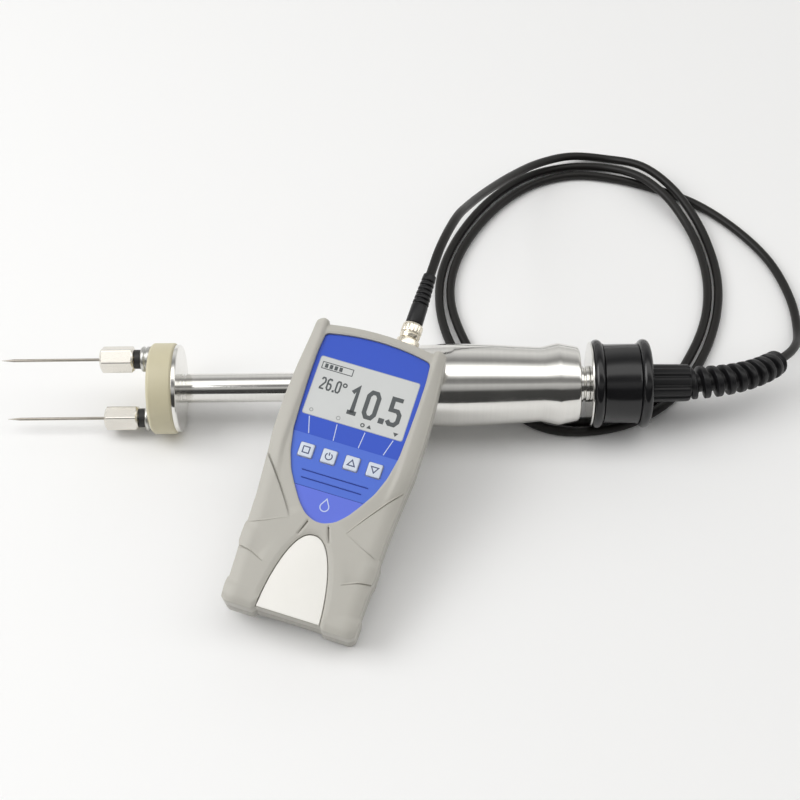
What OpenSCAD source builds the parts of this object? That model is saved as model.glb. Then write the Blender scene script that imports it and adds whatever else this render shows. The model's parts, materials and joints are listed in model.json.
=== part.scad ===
// Hand-held wood moisture meter with a two-needle slide-hammer electrode and its cable.
// Millimetres. The object lies on the plane z = 0. The electrode lies along X with its
// needles towards -X. The meter leans on the hammer, and the cable lies in a loose loop.

/* [Electrode] */
// Diameter of the needles
needle_d = 1.6; // [1.2:0.1:2]
// Free length of a needle in front of its cap nut
needle_free = 54.7; // [30:0.1:70]
// Centre distance of the two needles
needle_pitch = 34; // [30:1:36]
// Turn of the needle plane about the electrode's axis, from level
needle_turn = 58; // [50:1:65]
// Across flats of a cap nut
nut_af = 13; // [11:1:14]
// Length of a cap nut
nut_l = 19; // [14:1:24]
// Thread diameter under a cap nut
stud_d = 6; // [5:0.5:7]
// Diameter of the insulating disc
disc_d = 50; // [48:1:56]
// Thickness of the insulating disc
disc_t = 13.5; // [10:0.5:18]
// Thickness of the steel plate behind the disc
head_plate_t = 2.5; // [1.5:0.5:4]
// Diameter of the shaft
shaft_d = 16; // [14:0.5:18]
// Length of the shaft from the plate to the stop collar
shaft_free = 218.1; // [190:0.1:260]

/* [Hammer] */
// Length of the hammer
hammer_l = 137.3; // [110:0.1:150]
// Largest diameter of the hammer, at its middle
hammer_mid_d = 46; // [42:0.5:47]
// Diameter of the hammer's waist near each end
hammer_waist_d = 41; // [38:0.5:44]
// Diameter of the flared rim at each end
hammer_rim_d = 45.3; // [42:0.1:46]
// Diameter of the flat face at each end
hammer_face_d = 41.5; // [36:0.5:44]
// Length of a guide bush
bush_l = 15; // [10:1:25]
// Wall of a guide bush
bush_wall = 3; // [2:0.5:5]

/* [Cable end] */
// Diameter of the beads on the end cap
cap_bead_d = 48.6; // [46:0.1:49]
// Diameter of the end cap between its beads
cap_d = 43.4; // [38:0.1:46]
// Length of the end cap
cap_l = 31.5; // [28:0.5:44]
// Wall of the end cap
cap_wall = 2.5; // [1.5:0.5:4]
// Diameter of the gland behind the cap
gland_d = 21; // [18:0.5:26]
// Length of the gland behind the cap
gland_l = 22.5; // [14:1:26]

/* [Meter] */
// Widest half of the meter across its side guards
meter_half_w = 38.2; // [36:0.1:42]
// Length of the meter
meter_l = 157; // [150:1:165]
// Thickness of the meter from its back to the front of its face
meter_t = 23; // [22:0.5:26]
// Height of the side guards over the face
guard_rise = 1.5; // [0.5:0.5:2.5]
// Wall of the two shells
shell_wall = 2; // [1.5:0.1:2.5]
// Wall of the side guards
guard_wall = 2; // [1.5:0.1:3]
// Width of the display
lcd_w = 53.3; // [40:0.1:55]
// Height of the display
lcd_h = 32.3; // [24:0.1:34]
// Side of a key
key_side = 7.4; // [6:0.1:9]
// Centre distance of the keys
key_pitch = 12.1; // [11:0.1:14]
// Travel of a key
key_travel = 0.5; // [0.3:0.1:0.5]
// Diameter of a battery cell
cell_d = 14.2; // [10:0.1:14.5]
// Length of a battery cell
cell_l = 49.5; // [44:0.5:50.5]

/* [Cable] */
// Diameter of the cable
cable_d = 5.2; // [3:0.1:5.2]

/* [Placement] */
// Lean of the meter from level
lean = 19.6; // [19:0.1:20]
// Turn of the meter in its own plane
yaw = 17.3; // [17:0.1:17.5]
// Place along X of the meter's lower end
meter_x = -25.8; // [-30:0.1:-20]
// Place along X of the insulating disc's front face
tool_x = -106.1; // [-107:0.1:-105]
// Place along Y of the electrode's axis
tool_y = 65.6; // [65:0.1:66]
// Rise of the electrode's axis towards its cable end
tool_tilt = 1; // [0.9:0.1:1.1]

/* [Hidden] */
$fn = 64;
fit_gap = 0.05;     // radial clearance of a running fit
free_gap = 0.3;     // clearance between pieces that move past each other
skin = 0.02;        // overlap of a cut past a face

// ---- Electrode: stations along its axis, from the disc's front face ----
disc_r = disc_d / 2;
axis_z = disc_r * cos(tool_tilt);
collar_l = 5;
ring_l = 3.5;
nut_x = collar_l + ring_l;
stud_l = 11;
shank_d = needle_d + 0.8;
shank_l = nut_l - 5;
plate_x = disc_t;
shaft_x = disc_t + head_plate_t;
collar_x = shaft_x + shaft_free;
stop_collar_l = 5.4;
stop_collar_d = 19.8;
end_plate_t = 1;
cap_x = collar_x + stop_collar_l + end_plate_t;
shaft_end_x = cap_x + cap_l * 0.6;
shaft_bore = 10;
gland_x = cap_x + cap_l;
gland_neck_d = 12;
gland_neck_l = cap_wall + 8;
lead_bore = 7.5;
hammer_x = collar_x - free_gap - hammer_l;
bush_d = shaft_d + 2 * fit_gap + 2 * bush_wall;
hammer_rim_x = 10.8;
hammer_waist_x = 20.8;
relief_x = gland_x + gland_l;
relief_bend_r = 68.75;
relief_bend = 50;
relief_drop = 25;
relief_l = relief_bend_r * relief_bend * PI / 180;
joint_lap = 0.3;
relief_collar_l = 1.5;
relief_d1 = 18.4;
relief_d2 = 15;
relief_core_d = 10.5;
rib_count = 8;
screw_circle = 32;
screw_head_d = 5.6;
screw_head_l = 1.3;
screw_d = 3;
lead_hole_d = 3;

module on_axis(x) {
    translate([tool_x, tool_y, axis_z])
        rotate([0, -tool_tilt, 0])
            translate([x, 0, 0])
                rotate([0, 90, 0])
                    children();
}

// Ring or tube along the axis, starting at station x
module tube(x, l, d, bore) {
    on_axis(x)
        difference() {
            cylinder(h = l, d = d);
            translate([0, 0, -1])
                cylinder(h = l + 2, d = bore);
        }
}

// Place of needle i (1 upper, 2 lower); z runs along the axis to the disc
module at_needle(x, i) {
    on_axis(x)
        rotate([0, 0, 90 + (i == 1 ? needle_turn : needle_turn + 180)])
            translate([needle_pitch / 2, 0, 0])
                children();
}

module needle(i) {
    tip = 7;
    color([0.75, 0.74, 0.70])
        at_needle(-nut_x - nut_l - needle_free, i)
            union() {
                cylinder(h = tip, d1 = 0.15, d2 = needle_d);
                translate([0, 0, tip])
                    cylinder(h = needle_free - tip, d = needle_d);
                translate([0, 0, needle_free])
                    cylinder(h = shank_l, d = shank_d);
            }
}

module cap_nut(i) {
    chamfer = 1.5;
    color([0.78, 0.76, 0.70])
        at_needle(-nut_x - nut_l, i)
            difference() {
                intersection() {
                    rotate([0, 0, i == 1 ? 29 : 11])
                        cylinder(h = nut_l - free_gap, d = nut_af / cos(30), $fn = 6);
                    union() {
                        cylinder(h = chamfer, d1 = nut_af * 0.8, d2 = nut_af * 1.2);
                        translate([0, 0, chamfer])
                            cylinder(h = nut_l, d = nut_af * 1.2);
                    }
                }
                translate([0, 0, -1])
                    cylinder(h = nut_l, d = shank_d + 2 * fit_gap);
                translate([0, 0, nut_l - stud_l])
                    cylinder(h = nut_l, d = stud_d + 2 * fit_gap);
            }
}

// Threaded stud with a collet hole for the needle, seated in the disc
module needle_holder(i) {
    seat = disc_t - 3;
    color([0.72, 0.66, 0.45])
        at_needle(-nut_x - stud_l + 0.6, i)
            difference() {
                union() {
                    cylinder(h = stud_l + nut_x, d = stud_d);
                    translate([0, 0, stud_l + nut_x - 0.6])
                        cylinder(h = seat, d = stud_d);
                }
                translate([0, 0, -1])
                    cylinder(h = shank_l - nut_l + stud_l + 2, d = shank_d + 2 * fit_gap);
            }
}

module lock_collar(i) {
    color([0.55, 0.55, 0.54])
        at_needle(-collar_l, i)
            difference() {
                cylinder(h = collar_l, d = 14);
                translate([0, 0, -1])
                    cylinder(h = collar_l + 2, d = stud_d);
            }
}

module seal_rings() {
    color([0.1, 0.1, 0.1])
        for (i = [1, 2])
            at_needle(-nut_x, i)
                difference() {
                    cylinder(h = ring_l, d = 10.5);
                    translate([0, 0, -1])
                        cylinder(h = ring_l + 2, d = stud_d);
                }
}

module screw_places(x) {
    on_axis(x)
        for (a = [0, 120, 240])
            rotate([0, 0, a + needle_turn + 120])
                translate([screw_circle / 2, 0, 0])
                    children();
}

module insulator_disc() {
    edge = 1;
    color([0.89, 0.87, 0.75])
        difference() {
            on_axis(0)
                union() {
                    cylinder(h = edge, d1 = disc_d - 2 * edge, d2 = disc_d);
                    translate([0, 0, edge])
                        cylinder(h = disc_t - edge, d = disc_d);
                }
            for (i = [1, 2])
                at_needle(-1, i)
                    cylinder(h = disc_t - 2, d = stud_d);
            screw_places(disc_t - 8)
                cylinder(h = 9, d = screw_d);
            for (i = [1, 2])
                at_needle(disc_t - 4, i)
                    cylinder(h = 5, d = lead_hole_d);
        }
}

module head_plate() {
    color([0.80, 0.79, 0.75])
        difference() {
            on_axis(plate_x)
                cylinder(h = head_plate_t, d = disc_d - 2);
            on_axis(plate_x - 1)
                cylinder(h = head_plate_t + 2, d = shaft_bore);
            screw_places(plate_x - 1)
                cylinder(h = head_plate_t + 2, d = screw_d + 0.4);
            screw_places(plate_x + head_plate_t - screw_head_l)
                cylinder(h = screw_head_l + skin, d1 = screw_d, d2 = screw_head_d);
            for (i = [1, 2])
                at_needle(plate_x - 1, i)
                    cylinder(h = head_plate_t + 2, d = lead_hole_d);
        }
}

module head_screws() {
    color([0.7, 0.7, 0.68])
        union() {
            screw_places(plate_x + head_plate_t - screw_head_l)
                cylinder(h = screw_head_l - free_gap / 2, d1 = screw_d,
                    d2 = screw_head_d - 2 * free_gap);
            screw_places(plate_x - 6)
                cylinder(h = 6 + head_plate_t - screw_head_l + skin, d = screw_d);
        }
}

module shaft() {
    groove_x = 2;
    color([0.80, 0.79, 0.76])
        on_axis(shaft_x)
            difference() {
                cylinder(h = shaft_end_x - shaft_x, d = shaft_d);
                translate([0, 0, -1])
                    cylinder(h = shaft_end_x, d = shaft_bore);
                translate([0, 0, groove_x])
                    difference() {
                        cylinder(h = 0.8, d = shaft_d + 2);
                        cylinder(h = 0.8, d = shaft_d - 0.8);
                    }
            }
}

module inner_leads() {
    color([0.6, 0.1, 0.1])
        for (s = [-1, 1])
            on_axis(shaft_x + 4)
                translate([0, s * 2.4, 0])
                    cylinder(h = relief_x - shaft_x - 24, d = 2, $fn = 24);
}

// Barrel profile over half the length: radius at stations from one end
function hammer_side(l) = [
    [0, hammer_face_d / 2 - 1], [1, hammer_face_d / 2], [hammer_rim_x, hammer_rim_d / 2],
    [hammer_waist_x, hammer_waist_d / 2], [l / 2, hammer_mid_d / 2],
    [l - hammer_waist_x, hammer_waist_d / 2], [l - hammer_rim_x, hammer_rim_d / 2],
    [l - 1, hammer_face_d / 2], [l, hammer_face_d / 2 - 1]];

module hammer() {
    side = hammer_side(hammer_l);
    color([0.82, 0.81, 0.78])
        on_axis(hammer_x)
            difference() {
                rotate_extrude($fn = 96)
                    polygon(concat([[0, 0]], [for (p = side) [p.y, p.x]], [[0, hammer_l]]));
                translate([0, 0, -1])
                    cylinder(h = hammer_l + 2, d = shaft_d + 2 * free_gap);
                for (z = [-1, hammer_l - bush_l - free_gap])
                    translate([0, 0, z])
                        cylinder(h = bush_l + free_gap + 1, d = bush_d + 2 * fit_gap);
            }
}

module hammer_bush_left() {
    color([0.2, 0.2, 0.2])
        tube(hammer_x, bush_l, bush_d, shaft_d + 2 * fit_gap);
}

module hammer_bush_right() {
    color([0.2, 0.2, 0.2])
        tube(hammer_x + hammer_l - bush_l, bush_l, bush_d, shaft_d + 2 * fit_gap);
}

module stop_collar() {
    band = stop_collar_l / 2;
    color([0.78, 0.77, 0.74])
        on_axis(collar_x)
            difference() {
                union() {
                    cylinder(h = band - 0.4, d = stop_collar_d);
                    cylinder(h = stop_collar_l, d = stop_collar_d - 1.6);
                    translate([0, 0, band + 0.4])
                        cylinder(h = band - 0.4, d = stop_collar_d);
                }
                translate([0, 0, -1])
                    cylinder(h = stop_collar_l + 2, d = shaft_d);
            }
}

module end_plate() {
    color([0.8, 0.8, 0.77])
        tube(cap_x - end_plate_t, end_plate_t, cap_bead_d - 2.5, shaft_d);
}

module end_cap() {
    bead = 3;
    color([0.05, 0.05, 0.05])
        on_axis(cap_x)
            difference() {
                union() {
                    cylinder(h = cap_l, d = cap_d);
                    for (z = [bead, cap_l - bead])
                        translate([0, 0, z])
                            rotate_extrude()
                                translate([cap_bead_d / 2 - bead, 0])
                                    circle(r = bead);
                }
                translate([0, 0, cap_wall])
                    cylinder(h = cap_l - 2 * cap_wall, d = cap_d - 2 * cap_wall);
                translate([0, 0, -1])
                    cylinder(h = cap_wall + 2, d = shaft_d);
                translate([0, 0, cap_l - cap_wall - 1])
                    cylinder(h = cap_wall + 2, d = gland_neck_d);
            }
}

// Grub screws through the cap's wall onto the shaft
module cap_screws() {
    color([0.2, 0.2, 0.2])
        on_axis(cap_x + cap_wall + 6)
            for (a = [90, 210, 330])
                rotate([0, 0, a])
                    translate([shaft_d / 2, 0, 0])
                        rotate([0, 90, 0])
                            cylinder(h = cap_d / 2 - cap_wall - shaft_d / 2 - free_gap, d = 4);
}

module gland() {
    flutes = 10;
    color([0.06, 0.06, 0.06])
        on_axis(gland_x)
            difference() {
                union() {
                    cylinder(h = gland_l, d = gland_d);
                    translate([0, 0, -gland_neck_l])
                        cylinder(h = gland_neck_l + skin, d = gland_neck_d);
                }
                translate([0, 0, -gland_neck_l - 1])
                    cylinder(h = gland_neck_l + gland_l + 2, d = lead_bore);
                for (k = [0:flutes - 1])
                    rotate([0, 0, k * 360 / flutes])
                        translate([gland_d / 2 + 0.9, 0, 2])
                            cylinder(h = gland_l, d = 3);
            }
}

// Point on the strain relief's bent centre line: share s of its length
module along_relief(s) {
    a = relief_bend * s;
    on_axis(relief_x)
        rotate([0, 0, 90 - relief_drop])
            translate([relief_bend_r, 0, 0])
                rotate([0, a, 0])
                    translate([-relief_bend_r, 0, 0])
                        children();
}

module strain_relief() {
    steps = 2 * rib_count;
    color([0.06, 0.06, 0.06])
        union() {
            for (k = [0:steps - 1])
                along_relief(k / steps)
                    cylinder(h = relief_l / steps + (k < steps - 1 ? joint_lap : -joint_lap),
                        d = relief_core_d, $fn = 32);
            along_relief(1)
                translate([0, 0, -relief_collar_l])
                    cylinder(h = relief_collar_l, d = relief_core_d, $fn = 32);
            for (k = [0:rib_count - 1])
                along_relief((k + 0.28) / rib_count)
                    cylinder(h = 4.4, d = relief_d1 + (relief_d2 - relief_d1) * k / rib_count,
                        $fn = 32);
        }
}

// ---- Cable: a tube swept along hand-placed points, from the plug to the relief ----
route = [
    [52.5, 122, 80], [61.5, 148.5, 75], [70.5, 174.5, 61], [83, 205.5, 43], [99, 235.5, 27],
    [118, 260.5, 15], [140.5, 276.5, 7], [164.5, 277.5, 4], [186, 265.5, 8.6],
    [203, 245, 8.8], [215.5, 220, 5.2], [222, 192.5, 2.7], [222.5, 164, 2.7],
    [216.5, 134, 2.7], [204, 104.5, 2.7], [185, 77.5, 2.7], [161, 60, 2.7],
    [134, 53, 2.7], [109.5, 56, 2.7], [88.5, 72.5, 2.7], [70.5, 95.5, 2.7],
    [58.5, 121, 2.7], [53.5, 150.5, 2.7], [56.5, 180, 2.7], [68.5, 211, 2.7],
    [88, 240.5, 2.7], [112, 261.5, 2.7], [137.5, 270.5, 2.7], [162.5, 268.5, 4.5],
    [182.5, 256, 8.9], [198, 237.5, 8.9], [209.5, 216, 4.6], [215.5, 191.5, 2.7],
    [216, 164, 2.7], [210.5, 136, 2.7], [198.5, 108.5, 2.7], [180.5, 81, 2.7],
    [158, 66.5, 2.7], [134, 60, 2.7], [113, 63, 2.7], [95, 77, 2.7],
    [77.5, 99.5, 2.7], [66.5, 124, 2.7], [60.5, 151.5, 2.7], [63, 179, 2.7],
    [74.5, 208, 2.7], [93.5, 235.5, 2.7], [116, 254.5, 2.7], [141.5, 263, 2.7],
    [167.5, 260, 2.7], [194, 250, 2.7], [219, 235.5, 2.7], [241, 212, 2.7],
    [257, 184.5, 2.7], [264.5, 153.5, 2.7], [263.5, 125, 4.5], [255.5, 104.5, 13.5]];
cable_sides = 8;

function unit(p) = p / norm(p);
function turn_y(p, a) = [p.x * cos(a) + p.z * sin(a), p.y, p.z * cos(a) - p.x * sin(a)];
function turn_x(p, a) = [p.x, p.y * cos(a) - p.z * sin(a), p.y * sin(a) + p.z * cos(a)];
function turn_z(p, a) = [p.x * cos(a) - p.y * sin(a), p.x * sin(a) + p.y * cos(a), p.z];
function tool_dir(p) = turn_y(p, -tool_tilt);
function tool_point(p) = [tool_x, tool_y, axis_z] + tool_dir(p);
function meter_dir(p) = turn_x(turn_z(p, -yaw), lean);
function meter_point(p) = meter_origin + meter_dir(p);

relief_side = relief_bend_r * (1 - cos(relief_bend));
relief_end = tool_point([relief_x + relief_bend_r * sin(relief_bend),
    relief_side * cos(relief_drop), -relief_side * sin(relief_drop)]);
relief_dir = tool_dir([cos(relief_bend), sin(relief_bend) * cos(relief_drop),
    -sin(relief_bend) * sin(relief_drop)]);

// Ring of points around the path at p, in the plane across direction d
function ring(p, d, r) =
    let (side = unit(cross(d, [0, 0, 1])), up = cross(side, d))
    [for (k = [0:cable_sides - 1])
        let (a = 360 * (k + 0.5) / cable_sides)
        p + r * (cos(a) * side + sin(a) * up)];

module cable() {
    path = concat([boot_end], route, [relief_end]);
    n = len(path);
    dirs = [for (i = [0:n - 1])
        i == 0 ? meter_dir([0, 1, 0])
        : i == n - 1 ? -relief_dir
        : unit(unit(path[i + 1] - path[i]) + unit(path[i] - path[i - 1]))];
    points = [for (i = [0:n - 1]) each ring(path[i], dirs[i], cable_d / 2)];
    m = cable_sides;
    walls = [for (i = [0:n - 2], k = [0:m - 1])
        [i * m + k, i * m + (k + 1) % m, (i + 1) * m + (k + 1) % m, (i + 1) * m + k]];
    ends = [[for (k = [m - 1:-1:0]) k], [for (k = [0:m - 1]) (n - 1) * m + k]];
    color([0.12, 0.11, 0.11])
        polyhedron(points = points, faces = concat(walls, ends), convexity = 10);
}

// ---- Meter: local x across, y up its length, z out of its face ----
barrel_clear = 0.3;
corner_u = 34;
foot_rise = corner_u * sin(yaw) * sin(lean);
barrel_r = max(hammer_mid_d, hammer_rim_d) / 2 + barrel_clear;
barrel_z = axis_z + (hammer_x + hammer_l / 2) * sin(tool_tilt);
meter_y = tool_y - (barrel_r + cos(lean) * (barrel_z - foot_rise)) / sin(lean);
meter_origin = [meter_x, meter_y, foot_rise];

seam_z = 12;
face_z = meter_t;
pocket_depth = 1.8;
pocket_z = face_z - pocket_depth;
overlay_t = 0.6;
ceiling_z = pocket_z - shell_wall;
guard_z = face_z + guard_rise;
lcd_v = 120.5;
key_v = 85.4;
key_u0 = -key_pitch * 1.5;
socket_u = 12.6;
socket_z = 12;
socket_d = 9;
flange_t = 5.4;
ring_af = 9.8;
ring_len = 8.8;
boot_l = 29.5;
boot_d1 = 9.3;
boot_d2 = 7.4;
ring_v = meter_l + flange_t;
boot_v = ring_v + ring_len + free_gap;
boot_end = meter_point([socket_u, boot_v + boot_l, socket_z]);
cover_v0 = 14;
cover_v1 = 64;
socket_l = 12;
neck_d = 8;
board_v = 106.5;
board_l = 73;
cover_half_w = meter_half_w - 9.2;
cover_t = 1.5;
cover_travel = 9;

module at_meter() {
    translate(meter_origin)
        rotate([lean, 0, 0])
            rotate([0, 0, -yaw])
                children();
}

// Outline of the meter, right side from the foot to the top corner
function side_line(w) = [
    [w - 3.6, 0], [w - 3.3, 9], [w - 4.4, 11], [w - 3.6, 27], [w - 2.7, 29],
    [w - 2.7, 38], [w - 3.5, 41], [w - 3.2, 54], [w - 1.5, 76], [w, 91], [w, 114],
    [w - 0.8, 132], [w - 2.4, 150]];
// Outline of the shells inside the guards, with one smooth waist
function shell_line(w) = [
    [w - 6, 0], [w - 5.8, 27], [w - 5.6, 54], [w - 1.5 - guard_wall, 76],
    [w - guard_wall, 91], [w - guard_wall, 114], [w - 0.8 - guard_wall, 132],
    [w - 2.4 - guard_wall, 150]];
function arch(half, v0, v1, n) = [for (i = [1:n - 1])
    let (t = 1 - 2 * i / n) [half * t, v0 + (v1 - v0) * (1 - t * t)]];
function mirrored(right) = [for (i = [len(right) - 1:-1:0]) [-right[i].x, right[i].y]];
function inset(line, d) = [for (p = line) [p.x - d, max(d, min(p.y, 150 - d))]];

module shell_outline(d) {
    right = inset(shell_line(meter_half_w), d);
    top = right[len(right) - 1];
    polygon(concat(right, arch(top.x, top.y, meter_l - d, 12), mirrored(right)));
}

// Blue panel: an arched top, slightly waisted sides and a pointed round tip
panel_half = max(meter_half_w - 8.7, lcd_w / 2 + 2.85);
function panel_line(d) = [
    for (p = [[0.085, 51], [0.271, 53.5], [0.441, 58.8], [0.61, 66.3], [0.756, 73.5],
        [0.875, 83], [0.956, 95], [0.976, 107], [0.997, 122], [1, 138], [0.969, 149]])
        [p.x * panel_half - d, p.y + (p.y < 95 ? d : p.y > 140 ? -d : 0)]];

module panel_outline(d) {
    right = panel_line(d);
    top = right[len(right) - 1];
    polygon(concat(right, arch(top.x, top.y, 152.5 - d, 10), mirrored(right)));
}

// Arched outline of the label
module label_outline(d) {
    half = meter_half_w - 21.4 - d;
    apex = 44.5 - d;
    right = [for (i = [0:12]) let (a = 90 * i / 12)
        [half * pow(cos(a), 0.9), d + 1 + (apex - 1 - d) * pow(sin(a), 1.25)]];
    polygon(concat(right, [for (i = [11:-1:0]) [-right[i].x, right[i].y]]));
}

module block(u, v, z0, w, l, h) {
    translate([u - w / 2, v - l / 2, z0])
        cube([w, l, h]);
}

screw_spots = [for (s = [-1, 1]) each
    [[s * (meter_half_w - 9.2), 146], [s * (meter_half_w - 8.2), 69]]];

module rear_shell() {
    color([0.72, 0.71, 0.67])
        at_meter()
            difference() {
                linear_extrude(height = seam_z)
                    shell_outline(0);
                translate([0, 0, shell_wall + 0.4])
                    linear_extrude(height = seam_z)
                        shell_outline(shell_wall);
                // opening for the battery cover and its slide-off path
                translate([-cover_half_w, cover_v0 - cover_travel - free_gap, -1])
                    cube([2 * cover_half_w, cover_v1 - cover_v0 + cover_travel
                        + 2 * free_gap, shell_wall + 2.4]);
                // side grooves for the cover's tongues
                translate([-cover_half_w - 1.6, cover_v0 - cover_travel - free_gap, 0.7])
                    cube([2 * cover_half_w + 3.2, cover_v1 - cover_v0 + cover_travel
                        + 2 * free_gap, 1.3]);
                translate([socket_u, meter_l - socket_l, socket_z])
                    rotate([-90, 0, 0])
                        cylinder(h = 20, d = socket_d);
                for (p = screw_spots)
                    translate([p.x, p.y, -1])
                        cylinder(h = 10, d = 3.2);
            }
}

module front_shell() {
    color([0.74, 0.73, 0.69])
        at_meter()
            difference() {
                translate([0, 0, seam_z])
                    linear_extrude(height = face_z - seam_z)
                        shell_outline(0);
                translate([0, 0, seam_z - 1])
                    linear_extrude(height = ceiling_z - seam_z + 1)
                        shell_outline(shell_wall);
                translate([0, 0, pocket_z])
                    linear_extrude(height = pocket_depth + 1)
                        panel_outline(0);
                translate([0, 0, face_z - 0.8])
                    linear_extrude(height = 2)
                        label_outline(0);
                block(0, lcd_v, ceiling_z - 1, lcd_w, lcd_h, 10);
                for (k = [0:3])
                    block(key_u0 + k * key_pitch, key_v, ceiling_z - 1,
                        key_side + 2 * free_gap, key_side + 2 * free_gap, 10);
                translate([socket_u, meter_l - socket_l, socket_z])
                    rotate([-90, 0, 0])
                        cylinder(h = 20, d = socket_d);
            }
}

// Soft guard along one side: horn, side rim, band and foot
module guard(s) {
    w = meter_half_w;
    right = side_line(w);
    inner = [[w - 7.6, meter_l - 1.5], [w - 7.6, 104], [w - 8.4, 90], [w - 10.8, 80],
        [w - 6.6, 62], [w - 6.6, 44], [w - 17.6, 26.5], [w - 16.7, 23.5], [w - 7, 20],
        [w - 7, 12], [w - 20.8, 9], [w - 20.8, 0]];
    color([0.72, 0.71, 0.67])
        at_meter()
            mirror([s < 0 ? 1 : 0, 0, 0])
                difference() {
                    translate([0, 0, 0.6])
                        linear_extrude(height = guard_z - 0.6)
                            polygon(concat(right, [[w - 2.6, meter_l]], inner));
                    translate([0, 0, -1])
                        linear_extrude(height = face_z + 1)
                            shell_outline(0);
                }
}

module keypad_overlay() {
    color([0.25, 0.39, 0.83])
        at_meter()
            translate([0, 0, pocket_z])
                difference() {
                    linear_extrude(height = overlay_t)
                        panel_outline(0.15);
                    block(0, lcd_v, -1, lcd_w, lcd_h, 3);
                    for (k = [0:3])
                        block(key_u0 + k * key_pitch, key_v, -1,
                            key_side + 2 * free_gap, key_side + 2 * free_gap, 3);
                }
}

module display_window() {
    color([0.85, 0.88, 0.88, 0.4])
        at_meter()
            block(0, lcd_v, pocket_z - 0.3, lcd_w - 0.2, lcd_h - 0.2, 0.8);
}

module display_module() {
    glass_z = pocket_z - 0.3;
    color([0.87, 0.88, 0.87])
        at_meter()
            union() {
                block(0, lcd_v, glass_z - 2.2, lcd_w - 0.2, lcd_h - 0.2, 2.2);
                block(0, lcd_v, board_z, lcd_w + 2, lcd_h + 3, ceiling_z - board_z - 0.1);
            }
}

board_t = 1.6;
mat_t = 1;
flange_h = 0.9;
board_z = ceiling_z - free_gap - flange_h - key_travel - 0.2 - mat_t;

module main_board() {
    color([0.05, 0.3, 0.15])
        at_meter()
            block(0, board_v, board_z - board_t, 2 * cover_half_w, board_l, board_t);
}

module key_mat() {
    color([0.25, 0.25, 0.25])
        at_meter()
            block(0, key_v, board_z, 4 * key_pitch + 2, 11, mat_t);
}

// Key k, counted from the left, with a flange that stops it under the face
module key(k) {
    color([0.85, 0.87, 0.9])
        at_meter()
            union() {
                block(key_u0 + k * key_pitch, key_v, ceiling_z - free_gap - skin,
                    key_side, key_side, pocket_depth + shell_wall + free_gap - 0.5);
                block(key_u0 + k * key_pitch, key_v, ceiling_z - free_gap - flange_h,
                    key_side + 2, key_side + 2, flange_h);
            }
}

module key_hold() {
    key(0);
}

module key_power() {
    key(1);
}

module key_up() {
    key(2);
}

module key_down() {
    key(3);
}

module label_plate() {
    color([0.97, 0.96, 0.92])
        at_meter()
            translate([0, 0, face_z - 0.8])
                linear_extrude(height = 1.2)
                    label_outline(0.2);
}

cell_v = 7;
cell_pitch = cell_d + 2 * free_gap;
cell_room = 2 * (meter_half_w - 5.8 - shell_wall);
cell_last = (floor(cell_room / cell_pitch) - 1) / 2;
cell_z = shell_wall + 0.8 + cell_d / 2;

module battery_cells() {
    nub = 1;
    color([0.2, 0.35, 0.3])
        at_meter()
            for (k = [-cell_last:cell_last])
                translate([k * cell_pitch, cell_v, cell_z])
                    rotate([-90, 0, 0])
                        union() {
                            cylinder(h = cell_l - nub, d = cell_d);
                            cylinder(h = cell_l, d = 5.5);
                        }
}

module battery_contacts() {
    t = 0.5;
    color([0.8, 0.75, 0.5])
        at_meter()
            union() {
                for (k = [-cell_last:cell_last]) {
                    block(k * cell_pitch, cell_v - t / 2, cell_z - 4, 8, t, 8);
                    block(k * cell_pitch, cell_v + cell_l + t / 2, cell_z - 4, 8, t, 8);
                }
            }
}

module battery_cover() {
    color([0.70, 0.69, 0.65])
        at_meter()
            difference() {
                union() {
                    translate([-cover_half_w + free_gap, cover_v0, 0.2])
                        cube([2 * (cover_half_w - free_gap), cover_v1 - cover_v0,
                            cover_t + 0.3]);
                    translate([-cover_half_w - 1.2, cover_v0, 1])
                        cube([2 * cover_half_w + 2.4, cover_v1 - cover_v0, 0.7]);
                }
                for (k = [0:4])
                    translate([-10, cover_v0 + 6 + 3 * k, -0.5])
                        cube([20, 1.4, 1.1]);
            }
}

module shell_screws() {
    color([0.75, 0.75, 0.74])
        at_meter()
            for (p = screw_spots)
                translate([p.x, p.y, 0.3])
                    cylinder(h = 8, d = 3);
}

module socket() {
    color([0.78, 0.75, 0.66])
        at_meter()
            translate([socket_u, meter_l - socket_l, socket_z])
                rotate([-90, 0, 0])
                    difference() {
                        union() {
                            cylinder(h = socket_l + flange_t, d = socket_d);
                            translate([0, 0, socket_l + flange_t])
                                cylinder(h = 4, d = 7);
                        }
                        translate([0, 0, 4])
                            cylinder(h = 20, d = 5);
                    }
}

module socket_nut() {
    color([0.75, 0.73, 0.66])
        at_meter()
            translate([socket_u, meter_l + 0.3, socket_z])
                rotate([-90, 0, 0])
                    difference() {
                        cylinder(h = flange_t - 0.6, d = 12.4);
                        translate([0, 0, -1])
                            cylinder(h = flange_t + 2, d = socket_d);
                    }
}

module plug_body() {
    color([0.8, 0.78, 0.72])
        at_meter()
            translate([socket_u, ring_v + 4.2, socket_z])
                rotate([-90, 0, 0])
                    union() {
                        cylinder(h = boot_v - ring_v - 4.2, d = neck_d);
                        translate([0, 0, -12])
                            cylinder(h = 12 + skin, d = 4.8);
                    }
}

module coupling_ring() {
    color([0.82, 0.80, 0.74])
        at_meter()
            translate([socket_u, ring_v, socket_z])
                rotate([-90, 0, 0])
                    difference() {
                        cylinder(h = ring_len, d = ring_af / cos(30), $fn = 6);
                        translate([0, 0, -1])
                            cylinder(h = ring_len + 2, d = neck_d + 2 * fit_gap);
                    }
}

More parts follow.
